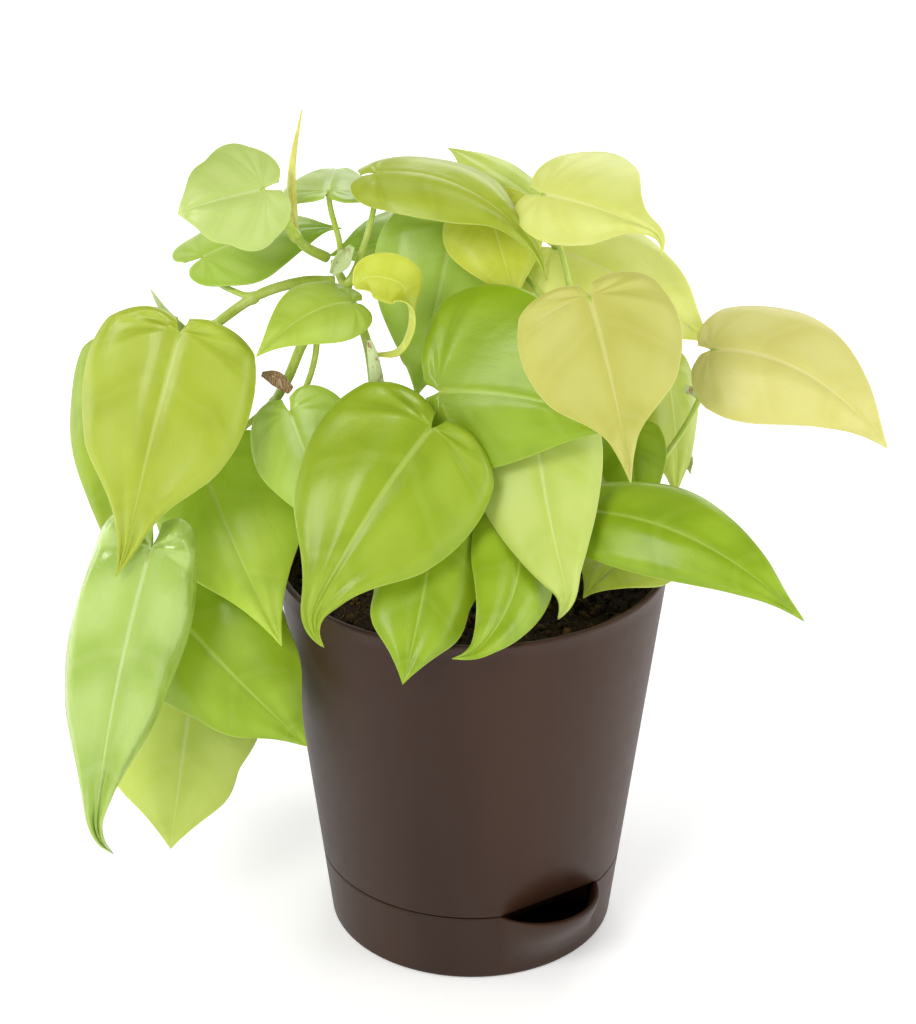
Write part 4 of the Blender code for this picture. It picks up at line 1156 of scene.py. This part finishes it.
@dataclass
class Pot:
    """The two mouldings of the self-watering pot: their sizes, walls and filling mouth."""

    rim_radius: float = 0.0600
    base_radius: float = 0.0449
    height: float = 0.1256
    seam: float = 0.0241
    wall: float = 0.0020
    gap: float = 0.0003
    mouth_direction: float = radians(33.0)
    mouth_half: float = radians(22.6)
    mouth_rise: float = 0.0124
    lip_radius: float = 0.0195
    lip_start: float = 0.0030
    dish: float = 0.0009
    mouth_recess: float = 0.0065
    foot_radius: float = 0.0120
    tray_floor: float = 0.0027
    floor_rise: float = 0.0029
    collar_depth: float = 0.0074
    base_ring: float = 0.0340
    base_ring_width: float = 0.0026
    soil_drop: float = 0.0096

    def cone(self, height: Array | float) -> Array:
        """Give the outer radius of the plain tapered wall."""
        return self.base_radius + (self.rim_radius - self.base_radius) * height / self.height

    def turns(self) -> Array:
        """List the directions of the wall's corners from the middle of the mouth, finer across it."""
        mouth = np.linspace(-1.35 * self.mouth_half, 1.35 * self.mouth_half, 121)
        rest = np.linspace(1.35 * self.mouth_half, 2 * pi - 1.35 * self.mouth_half, 181)
        return np.concatenate([mouth, rest[1:-1]])

    def upper(self, turn: Array, height: Array | float) -> Array:
        """Give the upper moulding's outer radius: above the mouth a flat leans into the cone."""
        flat = self.cone(self.seam) * cos(self.mouth_half)
        top = self.seam + self.mouth_rise
        distance = flat + (self.cone(top) - flat) * (height - self.seam) / self.mouth_rise
        plain = self.cone(height) * np.ones_like(turn)
        cut = np.where(np.cos(turn) > 0.5, distance / np.maximum(np.cos(turn), 0.5), 1.0)
        melt = self.dish * smoothstep(self.seam, self.seam + 0.004, height) + 0.05 * MM
        return -melt * np.logaddexp(-plain / melt, -cut / melt)

    def lower(self, turn: Array, height: Array | float) -> Array:
        """Give the reservoir's outer radius, swelling into the lip of the filling mouth."""
        seam = self.cone(self.seam)
        centre = seam * cos(self.mouth_half) - sqrt(self.lip_radius**2 - (seam * sin(self.mouth_half)) ** 2)
        root = np.clip(self.lip_radius**2 - (centre * np.sin(turn)) ** 2, 0.0, None)
        lip = np.where(np.abs(turn) < self.mouth_half, centre * np.cos(turn) + np.sqrt(root), seam)
        return self.cone(height) + np.maximum(0.0, lip - seam) * smoothstep(self.lip_start, self.seam, height)

    def piece(self, name: str, rings: list, low: float, high: float,
              finish: bpy.types.Material) -> bpy.types.Object:
        """Turn rings into a moulding with its mouth in the right direction."""
        turn = self.turns()
        shaped = [(radius(turn) if callable(radius) else np.full(len(turn), radius), height)
                  for radius, height in rings]
        return link_mesh(name, *lathe(shaped, turn + self.mouth_direction, low, high), finish)

    def build_upper(self, finish: bpy.types.Material) -> None:
        """Make the upper moulding: wall with a rounded rim, floor, collar and the wicking foot."""
        foot_low = self.tray_floor + self.gap
        floor_top = self.seam + self.floor_rise
        floor_low = floor_top - self.wall
        collar_low = self.seam - self.collar_depth
        seat = self.seam + self.gap
        edge = 0.35 * MM

        def collar(inset: float, height: float) -> object:
            """Give the collar's radius less an inset; it stands back behind the filling mouth."""
            return lambda turn: np.minimum(self.upper(turn, self.seam) - 0.8 * MM - self.mouth_recess * (
                1 - smoothstep(0.6 * self.mouth_half, 1.1 * self.mouth_half, np.abs(turn))),
                self.cone(height) - self.wall - 2 * self.gap) - inset

        def outer(height: float, inset: float = 0.0) -> tuple:
            """Give a ring of the outer wall."""
            return (lambda turn: self.upper(turn, height) - inset, height)

        rings: list = [
            (self.foot_radius - 0.4 * MM, foot_low), (self.foot_radius, foot_low + 0.4 * MM),
            (self.foot_radius, floor_low), (collar(1.6 * MM, floor_low), floor_low),
            (collar(1.6 * MM, collar_low), collar_low), (collar(0.0, collar_low), collar_low),
            (collar(0.0, seat), seat), outer(seat, edge), outer(seat + edge),
        ]
        rings += [outer(height) for height in np.linspace(seat + 2 * edge, 0.055, 40)]
        rings += [outer(height) for height in np.linspace(0.060, self.height - 1.2 * MM, 16)]
        middle = self.wall / 2
        for angle in np.linspace(0.0, pi, 13):
            bead = (self.wall / 2 + 0.15 * MM) * cos(angle)
            rings.append(outer(self.height - middle + middle * sin(angle), middle - bead))
        rings += [outer(height, self.wall) for height in np.linspace(self.height - 2.0 * MM, floor_top, 40)]
        foot_bore = self.foot_radius - self.wall
        rings += [(foot_bore, floor_top), (foot_bore, foot_low + self.wall)]
        body = self.piece("upper_pot", rings, foot_low, foot_low + self.wall, finish)
        mount(body, "pot_upper")

    def build_reservoir(self, finish: bpy.types.Material) -> None:
        """Make the lower moulding: a shallow cup, its lip and a shallow ring under the base."""
        floor = self.tray_floor
        edge = 1.2 * MM
        lip_edge = 0.6 * MM

        def outer(height: float, inset: float = 0.0) -> tuple:
            """Give a ring of the wall."""
            return (lambda turn: self.lower(turn, height) - inset, height)

        step = 0.35 * MM
        inner, outermost = self.base_ring, self.base_ring + self.base_ring_width
        rings: list = [(inner, 0.0), (inner + 0.4 * MM, step), (outermost - 0.4 * MM, step), (outermost, 0.0)]
        for angle in np.linspace(0.0, pi / 2, 7):
            rings.append(outer(edge * (1 - cos(angle)), edge * (1 - sin(angle))))
        rings += [outer(height) for height in np.linspace(1.6 * MM, self.seam - lip_edge, 36)]
        for angle in np.linspace(0.0, pi, 9)[1:-1]:
            middle = self.wall / 2
            rings.append(outer(self.seam - lip_edge * (1 - sin(angle)), middle - middle * cos(angle)))
        inside = np.linspace(self.seam - lip_edge, floor + 1.0 * MM, 30)
        rings += [outer(height, self.wall) for height in inside]
        rings.append(outer(floor, self.wall + 1.2 * MM))
        body = self.piece("reservoir", rings, 0.0, floor, finish)
        mount(body, "pot_reservoir")


@dataclass
class PottingMix:
    """The soil in the pot: a lumpy surface with loose crumbs, chips and coir fibres on it."""

    pot: Pot
    level: float
    mound: float = 0.0012
    crumbs: int = 2600
    fibres: int = 150
    lump: float = 1.1 * MM
    lump_width: float = 9 * MM
    ripple: float = 0.45 * MM
    ripple_width: float = 2.2 * MM

    def height(self, x: float, y: float) -> float:
        """Give the surface's height at a place."""
        radius = sqrt(x * x + y * y)
        base = self.level + self.mound * (1 - (radius / self.pot.rim_radius) ** 2)
        lumps = noise.fractal(Vector((x, y, 0.0)) / self.lump_width, 0.9, 2.1, 4)
        fine = noise.noise(Vector((x, y, 0.02)) / self.ripple_width)
        return base + self.lump * lumps + self.ripple * fine

    def build_body(self, finish: bpy.types.Material) -> None:
        """Make the solid of the mix with its lumpy top."""
        count = 200
        turn = np.linspace(0.0, 2 * pi, count, endpoint=False)
        from_mouth = (turn - self.pot.mouth_direction + pi) % (2 * pi) - pi
        floor = self.pot.seam + 0.0035
        rings: list = []
        for height in np.linspace(floor, self.level - 3 * MM, 8):
            side = self.pot.upper(from_mouth, height) - self.pot.wall - 0.4 * MM
            rings.append((side, np.full(count, height)))
        outside = self.pot.upper(from_mouth, self.level) - self.pot.wall - 0.3 * MM
        for share in np.linspace(1.0, 0.01, 64):
            radii = outside * share
            tops = [self.height(r * sin(a), -r * cos(a)) for r, a in zip(radii, turn)]
            rings.append((radii, np.array(tops)))
        body = link_mesh("soil_body", *lathe(rings, turn, floor, self.height(0.0, 0.0)), finish)
        mount(body, "potting_soil")

    def build_crumbs(self, finish: bpy.types.Material) -> None:
        """Scatter loose crumbs and chips over the surface, some up against the wall."""
        random = np.random.default_rng(11)
        seed = bmesh.new()
        bmesh.ops.create_icosphere(seed, subdivisions=1, radius=1.0)
        ball = np.array([vertex.co[:] for vertex in seed.verts])
        ball_faces = np.array([[vertex.index for vertex in face.verts] for face in seed.faces])
        seed.free()
        vertices = []
        faces = []
        shades = []
        limit = self.pot.cone(self.level) - self.pot.wall - 2.2 * MM
        for number in range(self.crumbs):
            radius = limit * sqrt(random.random())
            angle = 2 * pi * random.random()
            x, y = radius * sin(angle), -radius * cos(angle)
            size = (0.35 + 1.5 * random.random() ** 3.2) * MM
            flatness = random.uniform(0.35, 1.0)
            lumps = 1 + 0.35 * random.uniform(-1, 1, (len(ball), 1))
            shape = ball * lumps * (size, size * random.uniform(0.5, 1.0), size * flatness)
            tumble = random.uniform(0, 2 * pi)
            spin = np.array(Matrix.Rotation(tumble, 3, Vector(random.uniform(-1, 1, 3)).normalized()))
            vertices.append(shape @ spin.T + (x, y, self.height(x, y) + 0.25 * size))
            faces.append(ball_faces + len(ball) * number)
            shades += [float(random.random())] * len(ball)
        body = link_mesh("soil_crumbs", np.concatenate(vertices), np.concatenate(faces).tolist(), finish)
        body.data.attributes.new("grain", "FLOAT", "POINT").data.foreach_set("value", shades)
        mount(body)

    def build_fibres(self, finish: bpy.types.Material) -> None:
        """Lay short curved coir fibres over the surface."""
        random = np.random.default_rng(23)
        vertices = []
        faces = []
        total = 0
        count = 9
        limit = self.pot.cone(self.level) - self.pot.wall - 7 * MM
        for _ in range(self.fibres):
            radius = limit * sqrt(random.random())
            angle = 2 * pi * random.random()
            heading = 2 * pi * random.random()
            bend = random.uniform(-1.6, 1.6)
            steps = np.linspace(0.0, 1.0, count)
            reach = random.uniform(3.0, 9.0) * MM
            xs = radius * sin(angle) + np.cumsum(np.cos(heading + bend * steps)) * reach / count
            ys = -radius * cos(angle) + np.cumsum(np.sin(heading + bend * steps)) * reach / count
            hop = random.uniform(0.3, 1.6) * MM
            path = [(x, y, self.height(x, y) + 0.3 * MM + hop * sin(pi * t))
                    for x, y, t in zip(xs, ys, steps)]
            ring, sides = tube(np.array(path), np.full(count, random.uniform(0.09, 0.2) * MM), 5)
            vertices.append(ring)
            faces += [tuple(number + total for number in face) for face in sides]
            total += len(ring)
        mount(link_mesh("soil_fibres", np.concatenate(vertices), faces, finish))


@dataclass(frozen=True)
class Lamp:
    """One soft box: its name, place, aim, size in metres and power in watts."""

    name: str
    place: Point
    aim: Point
    size: float
    power: float
    tint: str = "#FFFFFF"

    def build(self) -> None:
        """Hang the lamp."""
        light = bpy.data.lights.new(self.name, "AREA")
        light.shape = "SQUARE"
        light.size = self.size
        light.energy = self.power
        light.color = linear(self.tint)[:3]
        lamp = bpy.data.objects.new(self.name, light)
        lamp.location = self.place
        lamp.rotation_euler = (Vector(self.aim) - Vector(self.place)).to_track_quat("-Z", "Y").to_euler()
        bpy.context.scene.collection.objects.link(lamp)


@dataclass
class Studio:
    """White paper floor, soft boxes, an even white surround and the camera."""

    floor_radius: float = 7.0
    surround: float = 1.0
    overhead: float = 0.30
    lens: float = 90.33
    eye: Point = (-0.004488, -0.70167, 0.47753)
    pitch: float = 0.4491
    roll: float = 0.0023
    lamps: tuple[Lamp, ...] = (
        Lamp("key_box", (-0.60, -0.95, 1.10), (-0.02, 0.0, 0.17), 0.55, 9.0, "#FFFDF8"),
        Lamp("right_box", (1.10, -0.35, 0.60), (0.0, 0.0, 0.10), 0.8, 6.0),
        Lamp("left_box", (-1.15, 0.10, 0.50), (0.0, 0.0, 0.10), 0.7, 4.0),
        Lamp("back_box", (0.25, 0.95, 0.95), (0.0, 0.0, 0.16), 0.8, 6.0),
    )

    def build_floor(self) -> None:
        """Lay the paper."""
        turn = np.linspace(0.0, 2 * pi, 96, endpoint=False)
        flat = np.zeros(len(turn))
        rings = [(flat + radius, flat) for radius in (self.floor_radius, self.floor_radius - 0.01)]
        paper = PaperSweep().dress("studio_paper_matt_painted_glow")
        link_mesh("paper_floor", *lathe(rings, turn, -0.02, 0.0), paper)

    def build_surround(self) -> None:
        """Light the scene softly from all around, brightest near the horizon."""
        world = bpy.data.worlds.new("surround")
        world.use_nodes = True
        tree = world.node_tree
        tree.nodes.clear()
        add = partial(add_node, tree)
        way = add("TexCoord", out="Generated")
        height = add("SeparateXYZ", {0: way}, out=2)
        strength = add("MapRange", {"Value": height, "From Min": 0.0, "From Max": 0.8,
                                    "To Min": self.surround, "To Max": self.overhead})
        shade = add("Background", {"Color": linear("#FFFFFF"), "Strength": strength})
        output = tree.nodes.new("ShaderNodeOutputWorld")
        tree.links.new(shade, output.inputs["Surface"])
        bpy.context.scene.world = world

    def build_camera(self) -> None:
        """Set the camera looking down on the plant from the front."""
        camera = bpy.data.objects.new("camera", bpy.data.cameras.new("camera"))
        camera.data.lens = self.lens
        camera.data.sensor_width = 36.0
        camera.data.clip_end = 50.0
        turn = Matrix.Rotation(pi / 2 - self.pitch, 4, "X") @ Matrix.Rotation(self.roll, 4, "Z")
        camera.matrix_world = Matrix.Translation(self.eye) @ turn
        bpy.context.scene.collection.objects.link(camera)
        bpy.context.scene.camera = camera

    def build(self) -> None:
        """Set up the whole studio."""
        self.build_floor()
        self.build_surround()
        self.build_camera()
        # Standard keeps a colour as its hex value says, where the default curve would grey it
        bpy.context.scene.view_settings.view_transform = "Standard"
        for lamp in self.lamps:
            lamp.build()


@dataclass
class Philodendron:
    """The whole plant on its vines."""

    soil: Soil

    def build(self) -> None:
        """Grow the vines, then the leaves and the small parts."""
        stem = GreenBark().dress("green_stem_skin")
        stalk = GreenBark("#AEC24A", "#9AB23A", "#C8D478", 0.4, 0.34).dress("green_stalk_skin")
        paths = Vines(self.soil).build(stem)
        skins = {}
        for seed, leaf in enumerate(LEAVES):
            tone = leaf.tone
            if tone not in skins:
                cuticle = LeafCuticle(tone.value)
                skins[tone] = (cuticle.upper(f"leaf_cuticle_{tone.name.lower()}"),
                               cuticle.under(f"leaf_underside_{tone.name.lower()}"))
            GrownLeaf(leaf, self.soil, paths[leaf.stem[0]], seed).build(*skins[tone], stalk)
        fresh = PaperySheath().dress("bud_sheath_fresh")
        dry = PaperySheath("#A58A3C", "#7A4A1A", 0.9).dress("bud_sheath_dry")
        young = skins[Tone.YOUNG_LIME]
        for strip in STRIPS:
            pair = {"leaf_young": young, "sheath_dry": (dry, dry)}.get(strip.slot, (fresh, fresh))
            strip.build(self.soil, *pair)
        rolled = GreenBark("#C9C95A", "#A9A53C", "#DAD984", 0.4, 0.4).dress("rolled_leaf_skin")
        RolledLeaf().build(self.soil, rolled)


def main() -> None:
    """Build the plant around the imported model."""
    logging.basicConfig(level=logging.INFO, format="%(name)s: %(message)s")
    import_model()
    pot = Pot()
    level = float(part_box("pot_upper")[1][2]) - pot.soil_drop
    Studio().build()
    plastic = MouldedPolypropylene().dress("polypropylene_brown_moulded")
    pot.build_upper(plastic)
    pot.build_reservoir(plastic)
    mix = PottingMix(pot, level)
    mix.build_body(CoirMix().dress("coir_and_bark_mix"))
    mix.build_crumbs(CoirMix().dress("loose_bark_crumbs", by_grain=True))
    mix.build_fibres(CoirMix("#3A2A14", "#6A5228", "#8C7040", 0.8).dress("coir_fibre"))
    Philodendron(Soil(level, pot.rim_radius / TABLE_RIM)).build()


if __name__ == "__main__":
    main()
